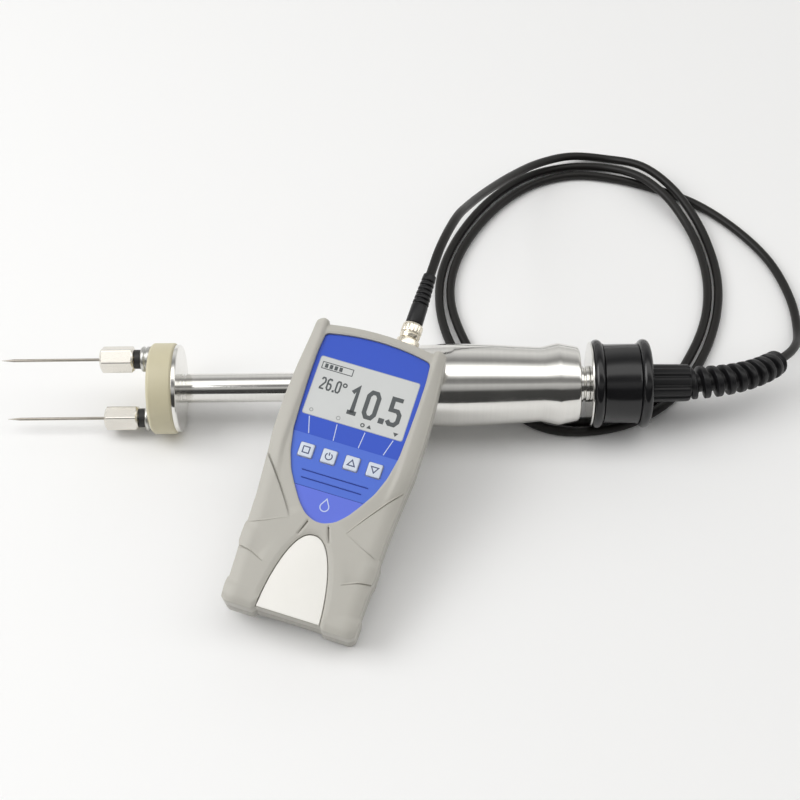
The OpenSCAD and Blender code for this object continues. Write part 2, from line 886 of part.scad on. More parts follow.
module plug_boot() {
    color([0.07, 0.07, 0.07])
        at_meter()
            translate([socket_u, boot_v, socket_z])
                rotate([-90, 0, 0])
                    union() {
                        cylinder(h = boot_l * 0.55, d1 = boot_d1, d2 = boot_d1 - 0.6);
                        translate([0, 0, boot_l * 0.55])
                            cylinder(h = boot_l * 0.45, d1 = boot_d1 - 0.6, d2 = boot_d2);
                    }
}

needle(1);  // needle_1
needle(2);  // needle_2
cap_nut(1);  // cap_nut_1
cap_nut(2);  // cap_nut_2
needle_holder(1);  // needle_holder_1
needle_holder(2);  // needle_holder_2
lock_collar(1);  // lock_collar_1
lock_collar(2);  // lock_collar_2
seal_rings();
insulator_disc();
head_plate();
head_screws();
shaft();
inner_leads();
hammer();
hammer_bush_left();
hammer_bush_right();
stop_collar();
end_plate();
end_cap();
cap_screws();
gland();
strain_relief();
cable();
plug_boot();
plug_body();
coupling_ring();
socket();
socket_nut();
rear_shell();
front_shell();
guard(-1);  // guard_left
guard(1);  // guard_right
keypad_overlay();
display_window();
display_module();
main_board();
key_mat();
key_hold();
key_power();
key_up();
key_down();
label_plate();
battery_cells();
battery_contacts();
battery_cover();
shell_screws();
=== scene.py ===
"""Looks of the wood moisture meter and its slide-hammer electrode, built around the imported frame.

Sizes are millimetres in the piece's own frame; MM turns them into metres. Two frames are used:
TOOL has x along the electrode from the disc's front face, METER has x across the meter, y up its
length and z out of its face.
"""
import json
import math

import bmesh
import bpy
import numpy as np
from mathutils import Matrix, Vector


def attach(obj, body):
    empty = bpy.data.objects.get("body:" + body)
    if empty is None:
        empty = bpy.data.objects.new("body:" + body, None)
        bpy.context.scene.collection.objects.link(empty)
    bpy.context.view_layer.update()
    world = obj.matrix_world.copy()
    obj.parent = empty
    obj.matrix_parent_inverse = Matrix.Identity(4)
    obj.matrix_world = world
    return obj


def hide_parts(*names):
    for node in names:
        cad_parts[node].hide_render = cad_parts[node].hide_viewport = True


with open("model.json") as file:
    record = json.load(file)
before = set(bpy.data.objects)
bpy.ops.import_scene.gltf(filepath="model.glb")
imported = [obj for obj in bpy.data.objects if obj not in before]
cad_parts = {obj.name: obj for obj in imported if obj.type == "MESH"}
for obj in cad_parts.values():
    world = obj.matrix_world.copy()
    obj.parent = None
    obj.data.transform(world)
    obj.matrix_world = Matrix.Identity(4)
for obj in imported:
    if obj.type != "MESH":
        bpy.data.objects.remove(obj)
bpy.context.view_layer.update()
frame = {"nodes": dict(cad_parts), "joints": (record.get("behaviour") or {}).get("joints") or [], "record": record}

MM = 0.001

# ---- Frames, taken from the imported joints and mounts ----
joints = {j["name"]: j for j in frame["joints"]}
mounts = {m["name"]: m for m in frame["record"]["mounts"]}


def add_object(name, data):
    """Object with this data in the scene."""
    thing = bpy.data.objects.new(name, data)
    bpy.context.scene.collection.objects.link(thing)
    return thing


def frame_at(origin, x, y, z):
    """Matrix that carries a local frame with these axes to the row frame."""
    matrix = Matrix((x, y, z)).transposed().to_4x4()
    matrix.translation = origin
    return matrix


along = Vector(joints["hammer_slide"]["axis"]).normalized()
level = Vector((0, 1, 0))
# From the middle of the needles' mounts to the disc's front face
NEEDLE_MOUNT_X = 51.35
between = (Vector(mounts["needle_1"]["pos_m"]) + Vector(mounts["needle_2"]["pos_m"])) / 2
TOOL = frame_at(between + MM * NEEDLE_MOUNT_X * along, along, level, along.cross(level))

# The socket's place on the meter's top end, the meter's length, and the coupling ring on it
SOCKET_U = 12.6
SOCKET_Z = 12
METER_L = 157
RING_V = METER_L + 5.4
RING_L = 8.8
meter_v = Vector(joints["coupling_ring_turn"]["axis"]).normalized()
meter_n = -Vector(joints["key_hold_press"]["axis"]).normalized()
meter_u = meter_v.cross(meter_n)
ring_centre = Vector(joints["coupling_ring_turn"]["pos_m"])
meter_origin = ring_centre - MM * (
    SOCKET_U * meter_u + (RING_V + RING_L / 2) * meter_v + SOCKET_Z * meter_n
)
METER = frame_at(meter_origin, meter_u, meter_v, meter_n)
PLUG = METER @ Matrix.Translation((SOCKET_U * MM, 0, SOCKET_Z * MM)) @ Matrix.Rotation(
    math.radians(90), 4, "Z"
)


# ---- Camera, at the viewing angle of the reference ----
CAMERA_PLACE = (0.0299, -0.4420, 0.6419)
CAMERA_DOWN = 51
CAMERA_LENS = 65.25


def add_camera():
    camera = bpy.data.cameras.new("camera")
    camera.sensor_width = 36
    camera.lens = CAMERA_LENS
    camera.clip_end = 10
    holder = add_object("camera", camera)
    holder.location = CAMERA_PLACE
    holder.rotation_euler = (math.radians(90 - CAMERA_DOWN), 0, 0)
    bpy.context.scene.camera = holder


add_camera()


# ---- Materials ----
def new_material(name):
    material = bpy.data.materials.new(name)
    material.use_nodes = True
    nodes = material.node_tree.nodes
    return material, nodes, material.node_tree.links, nodes["Principled BSDF"]


def add_coordinates(nodes, links, stretch):
    """Object coordinates, stretched so that a texture runs longer one way."""
    place = nodes.new("ShaderNodeTexCoord")
    mapping = nodes.new("ShaderNodeMapping")
    mapping.inputs["Scale"].default_value = stretch
    links.new(place.outputs["Object"], mapping.inputs["Vector"])
    return mapping.outputs["Vector"]


def add_noise(nodes, links, vector, scale, detail=4, roughness=0.55):
    noise = nodes.new("ShaderNodeTexNoise")
    noise.inputs["Scale"].default_value = scale
    noise.inputs["Detail"].default_value = detail
    noise.inputs["Roughness"].default_value = roughness
    links.new(vector, noise.inputs["Vector"])
    return noise.outputs["Fac"]


def add_range(nodes, links, value, low, high):
    """Carries a 0 to 1 texture onto low to high."""
    spread = nodes.new("ShaderNodeMapRange")
    spread.inputs["From Min"].default_value = 0.3
    spread.inputs["From Max"].default_value = 0.7
    spread.inputs["To Min"].default_value = low
    spread.inputs["To Max"].default_value = high
    links.new(value, spread.inputs["Value"])
    return spread.outputs["Result"]


def add_tint(nodes, links, value, dark, light):
    ramp = nodes.new("ShaderNodeValToRGB")
    ramp.color_ramp.elements[0].position = 0.3
    ramp.color_ramp.elements[0].color = (*dark, 1)
    ramp.color_ramp.elements[1].position = 0.7
    ramp.color_ramp.elements[1].color = (*light, 1)
    links.new(value, ramp.inputs["Fac"])
    return ramp.outputs["Color"]


def add_bump(nodes, links, shader, value, height_mm, strength=1.0):
    bump = nodes.new("ShaderNodeBump")
    bump.inputs["Strength"].default_value = strength
    bump.inputs["Distance"].default_value = height_mm * MM
    links.new(value, bump.inputs["Height"])
    links.new(bump.outputs["Normal"], shader.inputs["Normal"])


def shade(color, factor):
    """Colour made darker or lighter."""
    return tuple(min(1, c * factor) for c in color)


def moulded(name, color, rough, grain=900, grain_mm=0.03, spread=0.05, shine=0.5):
    """Moulded plastic or rubber: fine spark-eroded grain, slight colour and gloss variation."""
    material, nodes, links, shader = new_material(name)
    vector = add_coordinates(nodes, links, (1, 1, 1))
    broad = add_noise(nodes, links, vector, 35)
    fine = add_noise(nodes, links, vector, grain, detail=2)
    tint = add_tint(nodes, links, broad, shade(color, 1 - spread), shade(color, 1 + spread))
    links.new(tint, shader.inputs["Base Color"])
    gloss = add_range(nodes, links, broad, rough - 0.04, rough + 0.04)
    links.new(gloss, shader.inputs["Roughness"])
    shader.inputs["Specular IOR Level"].default_value = shine
    add_bump(nodes, links, shader, fine, grain_mm)
    return material


def turned(name, color, rough, marks=1500, marks_mm=0.004, spread=0.05, along_x=True):
    """Turned and polished metal: fine rings round the axis and faint handling haze."""
    material, nodes, links, shader = new_material(name)
    stretch = (1, 0.01, 0.01) if along_x else (1, 1, 1)
    rings = add_noise(nodes, links, add_coordinates(nodes, links, stretch), marks, detail=3)
    haze = add_noise(nodes, links, add_coordinates(nodes, links, (1, 1, 1)), 60)
    tint = add_tint(nodes, links, rings, shade(color, 1 - spread), shade(color, 1 + spread))
    links.new(tint, shader.inputs["Base Color"])
    gloss = add_range(nodes, links, haze, rough - 0.04, rough + 0.05)
    links.new(gloss, shader.inputs["Roughness"])
    shader.inputs["Metallic"].default_value = 1
    shader.inputs["Anisotropic"].default_value = 0.5 if along_x else 0.0
    add_bump(nodes, links, shader, rings, marks_mm, 0.5)
    return material


def printed(name, color, rough):
    """Printed or plastic film with a faint satin texture."""
    return moulded(name, color, rough, grain=1400, grain_mm=0.008, spread=0.02, shine=0.3)


STEEL = turned("steel", (0.80, 0.79, 0.76), 0.12, marks=900, marks_mm=0.002, spread=0.02)
PLATE = turned("plate_steel", (0.82, 0.81, 0.78), 0.14, marks_mm=0.002, spread=0.02)
NEEDLE = turned("needle_steel", (0.42, 0.39, 0.34), 0.32, marks=900)
NICKEL = turned("nickel", (0.80, 0.77, 0.71), 0.22, along_x=False)
WARM_NICKEL = turned("warm_nickel", (0.84, 0.78, 0.66), 0.20, along_x=False)
SCREW = turned("screw_metal", (0.62, 0.62, 0.60), 0.3, along_x=False)
BRASS = turned("brass", (0.75, 0.60, 0.32), 0.3, along_x=False)
DISC = moulded("disc_plastic", (0.62, 0.57, 0.40), 0.42, grain=700, grain_mm=0.02)
CASE = moulded("case_plastic", (0.50, 0.485, 0.44), 0.50, grain=1300, grain_mm=0.02, spread=0.02)
BACK = moulded("back_plastic", (0.47, 0.455, 0.415), 0.55, grain=1100, grain_mm=0.04)
CAP = moulded("cap_plastic", (0.008, 0.008, 0.009), 0.16, grain=200, grain_mm=0.003)
RUBBER = moulded("relief_rubber", (0.010, 0.010, 0.011), 0.34, grain=1200, grain_mm=0.02,
                 shine=0.3)
CABLE = moulded("cable_jacket", (0.012, 0.011, 0.010), 0.42, grain=800, grain_mm=0.02, spread=0.2,
                shine=0.3)
SEAL = moulded("seal_rubber", (0.02, 0.02, 0.02), 0.5)
BUSH = moulded("bush_plastic", (0.05, 0.05, 0.05), 0.4)
BLUE = printed("film_blue", (0.036, 0.098, 0.60), 0.38)
LIGHT_BLUE = printed("film_light_blue", (0.085, 0.175, 0.70), 0.38)
TIP_BLUE = printed("film_tip_blue", (0.13, 0.19, 0.78), 0.38)
# Painted shade: dark blue laid into the film's slits and the gap between film zones.
GAP_SHADE_BLUE = printed("painted_gap_shade", (0.02, 0.045, 0.30), 0.5)
PALE_INK = printed("pale_ink", (0.62, 0.70, 0.88), 0.45)
SCREEN = printed("screen", (0.66, 0.675, 0.67), 0.30)
SCREEN_EDGE = printed("screen_edge", (0.40, 0.43, 0.47), 0.4)
DIGIT = printed("digit_ink", (0.10, 0.11, 0.115), 0.45)
FAINT_DIGIT = printed("faint_ink", (0.36, 0.37, 0.37), 0.45)
KEY = moulded("key_plastic", (0.68, 0.74, 0.84), 0.35, grain=1200, grain_mm=0.01)
KEY_INK = printed("key_ink", (0.08, 0.10, 0.20), 0.5)
LABEL = printed("label_cream", (0.93, 0.915, 0.87), 0.55)
BOARD = moulded("board_green", (0.02, 0.12, 0.05), 0.4)
CELL = moulded("cell_wrap", (0.05, 0.14, 0.12), 0.3)
LEAD = moulded("lead_red", (0.30, 0.02, 0.02), 0.4)


# ---- Mesh helpers ----
SHARP = 38
WELD_M = 1e-7


def new_mesh(name, points, faces, at):
    """Mesh from points in millimetres in frame `at`."""
    turn = np.array(at.to_3x3())
    world = (np.asarray(points, float) * MM) @ turn.T + np.array(at.translation)
    mesh = bpy.data.meshes.new(name)
    mesh.from_pydata(world.tolist(), [], [tuple(f) for f in faces])
    return mesh


def clean(mesh, weld=True):
    """Welds doubled points and turns the faces outward."""
    shape = bmesh.new()
    shape.from_mesh(mesh)
    if weld:
        bmesh.ops.remove_doubles(shape, verts=shape.verts, dist=WELD_M)
    bmesh.ops.recalc_face_normals(shape, faces=shape.faces)
    shape.to_mesh(mesh)
    shape.free()


def shade_smooth(mesh, sharp=SHARP):
    """Smooth shading, apart from edges sharper than this many degrees."""
    mesh.polygons.foreach_set("use_smooth", [True] * len(mesh.polygons))
    mesh.set_sharp_from_angle(angle=math.radians(sharp))


def new_piece(name, points, faces, at, material, slot, replaced=(), body="root", sharp=SHARP):
    """Mesh piece from points in millimetres in frame `at`. It rides on body and replaces nodes."""
    mesh = new_mesh(name, points, faces, at)
    clean(mesh)
    piece = add_object(name, mesh)
    mesh.materials.append(material)
    shade_smooth(mesh, sharp)
    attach(piece, body)
    if replaced:
        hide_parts(*replaced)
    return piece


def rounded(corners, radius, steps=4, closed=False):
    """Polyline with each corner turned into a short curve."""
    count = len(corners)
    out = []
    for i, corner in enumerate(corners):
        if not closed and i in (0, count - 1):
            out.append(tuple(corner))
            continue
        before = np.subtract(corners[i - 1], corner)
        after = np.subtract(corners[(i + 1) % count], corner)
        reach = min(radius, np.linalg.norm(before) / 2, np.linalg.norm(after) / 2)
        start = corner + before / np.linalg.norm(before) * reach
        end = corner + after / np.linalg.norm(after) * reach
        for k in range(steps + 1):
            t = k / steps
            middle = 2 * t * (1 - t) * np.array(corner)
            out.append(tuple((1 - t) ** 2 * start + middle + t * t * end))
    return out


def lathe(name, profile, at, material, slot, replaced=(), body="root", sides=128, shape=None,
          closed=False):
    """Turns a (station, radius) profile round x. shape(angle, station, radius) may alter radii."""
    points, faces = [], []
    count = len(profile)
    for x, r in profile:
        for k in range(sides):
            angle = 2 * math.pi * k / sides
            radius = shape(angle, x, r) if shape else r
            points.append((x, radius * math.cos(angle), radius * math.sin(angle)))
    rows = count if closed else count - 1
    for i in range(rows):
        a, b = i * sides, ((i + 1) % count) * sides
        for k in range(sides):
            n = (k + 1) % sides
            faces.append((a + k, a + n, b + n, b + k))
    return new_piece(name, points, faces, at, material, slot, replaced, body)


def flat_shape(outline, z, thick):
    """Points and faces of a plate with this outline, from z to z + thick."""
    count = len(outline)
    points = [(x, y, z) for x, y in outline] + [(x, y, z + thick) for x, y in outline]
    faces = [tuple(range(count - 1, -1, -1)), tuple(range(count, 2 * count))]
    faces += [(i, (i + 1) % count, count + (i + 1) % count, count + i) for i in range(count)]
    return points, faces


def stacked(rings):
    """Points and faces of a solid through (outline, z) rings with equal counts of points."""
    count = len(rings[0][0])
    points = [(u, v, z) for outline, z in rings for u, v in outline]
    faces = []
    for i in range(len(rings) - 1):
        low, high = i * count, (i + 1) * count
        for n in range(count):
            m = (n + 1) % count
            faces.append((low + n, low + m, high + m, high + n))
    faces.append(tuple(range(count - 1, -1, -1)))
    faces.append(tuple((len(rings) - 1) * count + n for n in range(count)))
    return points, faces


def joined(parts):
    """Joins (points, faces) shapes into one."""
    points, faces = [], []
    for p, f in parts:
        start = len(points)
        points += list(p)
        faces += [tuple(start + i for i in face) for face in f]
    return points, faces


def rectangle(u, v, w, h, radius=0.0):
    """Outline of a rectangle round its centre, with round corners where a radius is given."""
    corners = [(u - w / 2, v - h / 2), (u + w / 2, v - h / 2), (u + w / 2, v + h / 2),
               (u - w / 2, v + h / 2)]
    return rounded(corners, radius, 5, closed=True) if radius else corners


def ribbon(line, width, z, thick=0.05):
    """Flat printed line with mitred corners. It closes when its ends meet."""
    line = np.array(line, float)
    closed = np.allclose(line[0], line[-1])
    if closed:
        line = line[:-1]
    count = len(line)
    stretches = np.roll(line, -1, axis=0) - line
    stretches /= np.linalg.norm(stretches, axis=1)[:, None]
    before = np.roll(stretches, 1, axis=0)
    after = stretches.copy()
    if not closed:
        before[0], after[-1] = after[0], before[-1]
    middle = before + after
    middle /= np.linalg.norm(middle, axis=1)[:, None]
    side = np.stack([-middle[:, 1], middle[:, 0]], axis=1)
    spread = 1 / np.maximum(0.5, (side * np.stack([-after[:, 1], after[:, 0]], axis=1)).sum(1))
    side *= (spread * width / 2)[:, None]
    points = []
    for level in (z, z + thick):
        points += [(*p, level) for p in line + side] + [(*p, level) for p in line - side]
    faces = []
    for i in range(count if closed else count - 1):
        j = (i + 1) % count
        left, right, up = (i, j), (count + i, count + j), 2 * count
        faces.append((left[0], left[1], right[1], right[0]))
        faces.append((right[0] + up, right[1] + up, left[1] + up, left[0] + up))
        faces.append((left[0] + up, left[1] + up, left[1], left[0]))
        faces.append((right[0], right[1], right[1] + up, right[0] + up))
    if not closed:
        for i in (0, count - 1):
            faces.append((i, count + i, 3 * count + i, 2 * count + i))
    return points, faces


def circle_line(u, v, radius, start=0, end=360, steps=24):
    """Points of an arc, from one angle to another in degrees."""
    angles = [math.radians(start + (end - start) * k / steps) for k in range(steps + 1)]
    return [(u + radius * math.cos(a), v + radius * math.sin(a)) for a in angles]


# A cut that leaves less than this share of a piece's faces has gone wrong
LEAST_LEFT = 0.4


def cut(piece, points, faces, at):
    """Cuts a closed shape, in frame `at`, out of a piece."""
    old = piece.data
    mesh = new_mesh("cutter", points, faces, at)
    clean(mesh, weld=False)
    cutter = add_object("cutter", mesh)
    boolean = piece.modifiers.new("cut", "BOOLEAN")
    boolean.operation = "DIFFERENCE"
    boolean.solver = "EXACT"
    boolean.object = cutter
    bpy.context.view_layer.update()
    graph = bpy.context.evaluated_depsgraph_get()
    result = bpy.data.meshes.new_from_object(piece.evaluated_get(graph))
    piece.modifiers.clear()
    bpy.data.objects.remove(cutter)
    if len(result.polygons) < LEAST_LEFT * len(old.polygons):
        raise RuntimeError(f"a cut lost most of {piece.name}")
    piece.data = result
    bpy.data.meshes.remove(old)
    shade_smooth(result)


# ---- Cable ----
# The route's points in millimetres, from the plug's boot to the strain relief
ROUTE = [
    (52.5, 122, 80), (61.5, 148.5, 75), (70.5, 174.5, 61), (83, 205.5, 43), (99, 235.5, 27),
    (118, 260.5, 15), (140.5, 276.5, 7), (164.5, 277.5, 4), (186, 265.5, 8.6),
    (203, 245, 8.8), (215.5, 220, 5.2), (222, 192.5, 2.7), (222.5, 164, 2.7),
    (216.5, 134, 2.7), (204, 104.5, 2.7), (185, 77.5, 2.7), (161, 60, 2.7),
    (134, 53, 2.7), (109.5, 56, 2.7), (88.5, 72.5, 2.7), (70.5, 95.5, 2.7),
    (58.5, 121, 2.7), (53.5, 150.5, 2.7), (56.5, 180, 2.7), (68.5, 211, 2.7),
    (88, 240.5, 2.7), (112, 261.5, 2.7), (137.5, 270.5, 2.7), (162.5, 268.5, 4.5),
    (182.5, 256, 8.9), (198, 237.5, 8.9), (209.5, 216, 4.6), (215.5, 191.5, 2.7),
    (216, 164, 2.7), (210.5, 136, 2.7), (198.5, 108.5, 2.7), (180.5, 81, 2.7),
    (158, 66.5, 2.7), (134, 60, 2.7), (113, 63, 2.7), (95, 77, 2.7),
    (77.5, 99.5, 2.7), (66.5, 124, 2.7), (60.5, 151.5, 2.7), (63, 179, 2.7),
    (74.5, 208, 2.7), (93.5, 235.5, 2.7), (116, 254.5, 2.7), (141.5, 263, 2.7),
    (167.5, 260, 2.7), (194, 250, 2.7), (219, 235.5, 2.7), (241, 212, 2.7),
    (257, 184.5, 2.7), (264.5, 153.5, 2.7), (263.5, 125, 4.5), (255.5, 104.5, 13.5)]
CABLE_D = 5.2
BOOT_V = RING_V + RING_L + 0.3
BOOT_L = 29.5

# The strain relief's start, bend radius, bend, and how steeply it bends down
RELIEF_X = 294.5
RELIEF_R = 68.75
RELIEF_BEND = math.radians(50)
RELIEF_DROP = math.radians(25)


def along_relief(share):
    """Centre, direction and two side directions of the bent strain relief, in TOOL."""
    a = RELIEF_BEND * share
    side = Vector((0, math.cos(RELIEF_DROP), -math.sin(RELIEF_DROP)))
    forward = Vector((math.cos(a), 0, 0)) + side * math.sin(a)
    start = Vector((RELIEF_X + RELIEF_R * math.sin(a), 0, 0))
    centre = start + side * RELIEF_R * (1 - math.cos(a))
    across = Vector((0, math.sin(RELIEF_DROP), math.cos(RELIEF_DROP)))
    return centre, forward, across, forward.cross(across)


def smooth_line(points, steps=6):
    """Catmull-Rom curve through the points, with even tangents."""
    ends = [2 * points[0] - points[1], *points, 2 * points[-1] - points[-2]]
    out = []
    for p0, p1, p2, p3 in zip(ends, ends[1:], ends[2:], ends[3:]):
        for k in range(steps):
            t = k / steps
            out.append(0.5 * (2 * p1 + (p2 - p0) * t + (2 * p0 - 5 * p1 + 4 * p2 - p3) * t * t
                              + (3 * p1 - p0 - 3 * p2 + p3) * t ** 3))
    return out + [points[-1]]


def add_cable():
    """The cable, and the point where it leaves the strain relief."""
    boot_end = METER @ Vector((SOCKET_U * MM, (BOOT_V + BOOT_L) * MM, SOCKET_Z * MM))
    relief_end = TOOL @ (along_relief(1)[0] * MM)
    line = smooth_line([boot_end] + [Vector(p) * MM for p in ROUTE] + [relief_end])
    line.reverse()
    curve = bpy.data.curves.new("cable", "CURVE")
    curve.dimensions = "3D"
    curve.bevel_depth = CABLE_D / 2 * MM
    curve.bevel_resolution = 5
    curve.use_fill_caps = True
    spline = curve.splines.new("POLY")
    spline.points.add(len(line) - 1)
    for point, place in zip(spline.points, line):
        point.co = (*place, 1)
    spline.use_smooth = True
    curve.materials.append(CABLE)
    piece = add_object("cable_run", curve)
    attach(piece, "root")
    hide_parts("cable")
    return piece, relief_end


cable, cable_exit = add_cable()


def add_strain_relief():
    """Tapered relief with a helical rib, bent over its length, with a plain collar at each end."""
    sides, rows, turns = 40, 260, 9
    core = 5.2
    points, faces = [], []
    for i in range(rows + 1):
        s = i / rows
        centre, _, across, side = along_relief(s)
        ends = min(1, s / 0.03, (1 - s) / 0.05)
        for k in range(sides):
            angle = 2 * math.pi * k / sides
            wave = 0.5 + 0.5 * math.cos(2 * math.pi * (turns * s) - angle)
            rib = 1 / (1 + math.exp(-14 * (wave - 0.42)))
            crest = 9.2 - 1.7 * s
            r = core + (crest - core) * (rib if ends >= 1 else max(rib, 1 - ends) * 0.9)
            points.append(centre + (across * math.cos(angle) + side * math.sin(angle)) * r)
    for i in range(rows):
        for k in range(sides):
            n = (k + 1) % sides
            faces.append((i * sides + k, i * sides + n, (i + 1) * sides + n, (i + 1) * sides + k))
    faces.append(tuple(range(sides)))
    faces.append(tuple(rows * sides + k for k in range(sides)))
    return new_piece("relief_spiral", [tuple(p) for p in points], faces, TOOL, RUBBER,
                     "relief_rubber", ["strain_relief"], sharp=60)


strain_relief = add_strain_relief()


def add_plug():
    """Boot with moulded ribs, knurled coupling ring and flange nut on the meter's connector."""
    profile = [(BOOT_V, 0), (BOOT_V, 4.65)]
    ribs = 6
    start = BOOT_V + 11
    pitch = (BOOT_L - 13) / ribs
    for k in range(ribs):
        x = start + k * pitch
        r = 4.5 - 0.14 * k
        profile += [(x, r), (x + 0.15, r - 0.9), (x + 0.9, r - 0.9), (x + 1.05, r)]
    profile += [(BOOT_V + BOOT_L, 3.55), (BOOT_V + BOOT_L, 0)]
    boot = lathe("boot", rounded(profile, 0.35, 3), PLUG, RUBBER, "relief_rubber", ["plug_boot"],
                 sides=64)
    ring_profile = [(RING_V, 4.2), (RING_V, 5.0), (RING_V + 2.3, 5.6), (RING_V + 2.6, 5.1),
                    (RING_V + 3.2, 5.1), (RING_V + 3.4, 5.6), (RING_V + RING_L - 1.2, 5.6),
                    (RING_V + RING_L, 4.8), (RING_V + RING_L, 4.2)]

    def knurl(angle, x, r):
        fluted = RING_V + 3.3 < x < RING_V + RING_L - 1 and r > 5.2
        return r - (0.28 * abs(math.sin(9 * angle)) ** 3 if fluted else 0)

    ring = lathe("knurled_ring", rounded(ring_profile, 0.3, 3, closed=True), PLUG, WARM_NICKEL,
                 "plug_nickel", ["coupling_ring"], body="coupling_ring", sides=144, shape=knurl,
                 closed=True)
    lathe("flange_nut", rounded([(METER_L - 0.4, 4.2), (METER_L - 0.4, 6.2),
                                 (METER_L + 4.6, 6.2), (METER_L + 4.6, 4.2)],
                                0.5, 3, closed=True),
          PLUG, WARM_NICKEL, "plug_nickel", ["socket_nut"], sides=96, closed=True)
    return boot, ring


plug_boot, coupling_ring = add_plug()


# ---- Electrode ----
NEEDLE_FREE = 54.7
NUT_START = -27.5
NUT_END = -8.8
NUT_HALF_FLAT = 6.5
NUT_TURN = {1: -33, 2: -51}
DISC_T = 13.5
PLATE_END = 16
SHAFT_R = 8
SHAFT_END = 258
HAMMER_X = 96.5
HAMMER_L = 137.3
COLLAR_X = 234.1
CAP_X = 240.5
GLAND_X = 272


def beside_axis(place):
    """TOOL moved sideways, so that its axis runs through this point."""
    centre = TOOL.inverted() @ Vector(place)
    return TOOL @ Matrix.Translation((0, centre.y, centre.z))


def add_needle(i):
    """Slim ground needle with a long cone at its tip."""
    at = beside_axis(mounts[f"needle_{i}"]["pos_m"])
    start, end = NUT_START - NEEDLE_FREE, NUT_START
    profile = [(start, 0), (start + 0.3, 0.12), (start + 7, 0.8), (end, 0.8), (end, 1.2),
               (end + 12, 1.2), (end + 12, 0)]
    lathe(f"ground_needle_{i}", profile, at, NEEDLE, "needle_steel", [f"needle_{i}"],
          body=f"needle_{i}", sides=40)


def add_cap_nut(i):
    """Hexagon cap nut with turned chamfers at both ends, and the lock collar behind it."""
    at = beside_axis(joints[f"cap_nut_{i}_turn"]["pos_m"])
    turn = math.radians(NUT_TURN[i])
    start, end = NUT_START, NUT_END
    profile = [(start, 1.25), (start, 4.9), (start + 0.35, 5.5), (start + 1.6, 7.55),
               (end - 1.3, 7.55), (end - 0.3, 6.2), (end, 5.9), (end, 3.1)]
    profile = rounded(profile, 0.25, 2, closed=True)

    def hexagon(angle, x, r):
        a = (angle - turn) % math.radians(60) - math.radians(30)
        flat = NUT_HALF_FLAT / math.cos(a)
        return min(r, flat - 0.10 * max(0, abs(a) - 0.46) * 8)

    lathe(f"hex_nut_{i}", profile, at, NICKEL, "nut_nickel", [f"cap_nut_{i}"],
          body=f"cap_nut_{i}", sides=180, shape=hexagon, closed=True)
    lathe(f"collar_{i}", rounded([(-5, 3), (-5, 6.2), (-4.2, 7), (-3, 7), (-2.6, 6.3), (-2, 6.3),
                                  (-1.6, 7), (0, 7), (0, 3)], 0.3, 3, closed=True),
          at, SCREW, "collar_steel", [f"lock_collar_{i}"], sides=72, closed=True)


for number in (1, 2):
    add_needle(number)
    add_cap_nut(number)



def add_head():
    """Insulating disc, its steel plate, and the shaft with two fine grooves behind the plate."""
    lathe("turned_disc", rounded([(0, 0), (0, 23.6), (1.4, 25), (DISC_T - 0.9, 25),
                                  (DISC_T, 24.2), (DISC_T, 0)], 0.5, 4),
          TOOL, DISC, "disc_plastic", ["insulator_disc"], sides=192)
    lathe("polished_plate", rounded([(DISC_T, 0), (DISC_T, 24), (PLATE_END - 0.5, 24),
                                     (PLATE_END, 23.5), (PLATE_END, 0)], 0.3, 3),
          TOOL, PLATE, "polished_steel", ["head_plate"], sides=192)
    grooves = [(16.8, SHAFT_R), (16.95, 7.5), (17.35, 7.5), (17.5, SHAFT_R), (18.2, SHAFT_R),
               (18.35, 7.5), (18.9, 7.5), (19.05, SHAFT_R)]
    lathe("turned_shaft", rounded([(PLATE_END, 0), (PLATE_END, SHAFT_R), *grooves,
                                   (SHAFT_END, SHAFT_R), (SHAFT_END, 0)], 0.12, 2),
          TOOL, STEEL, "polished_steel", ["shaft"], sides=128)


add_head()


def add_hammer():
    """Barrel-shaped steel weight with flared rims."""
    half = [(0, 11.3), (0, 19.8), (0.35, 20.4), (1.2, 20.8), (10.8, 22.65), (12.2, 22.5),
            (20.8, 20.55), (22.4, 20.62), (45, 22.1), (HAMMER_L / 2, 23)]
    other = [(HAMMER_L - x, r) for x, r in reversed(half[:-1])]
    profile = [(HAMMER_X + x, r) for x, r in rounded(half + other, 1.0, 5, closed=True)]
    lathe("steel_hammer", profile, TOOL, STEEL, "polished_steel", ["hammer"], body="hammer",
          sides=192, closed=True)


add_hammer()


def add_shaft_end():
    """Grooved stop collar, and the steel plate in front of the end cap."""
    collar = [(0, SHAFT_R), (0, 9.9), (2.1, 9.9), (2.3, 9.1), (3.1, 9.1), (3.3, 9.9), (5.4, 9.9),
              (5.4, SHAFT_R)]
    lathe("grooved_collar", rounded([(COLLAR_X + x, r) for x, r in collar], 0.25, 3, closed=True),
          TOOL, STEEL, "polished_steel", ["stop_collar"], sides=96, closed=True)
    plate = [(-1, SHAFT_R), (-1, 22.6), (-0.6, 23), (0, 23), (0, SHAFT_R)]
    lathe("end_disc", rounded([(CAP_X + x, r) for x, r in plate], 0.2, 3, closed=True),
          TOOL, PLATE, "polished_steel", ["end_plate"], sides=160, closed=True)


add_shaft_end()


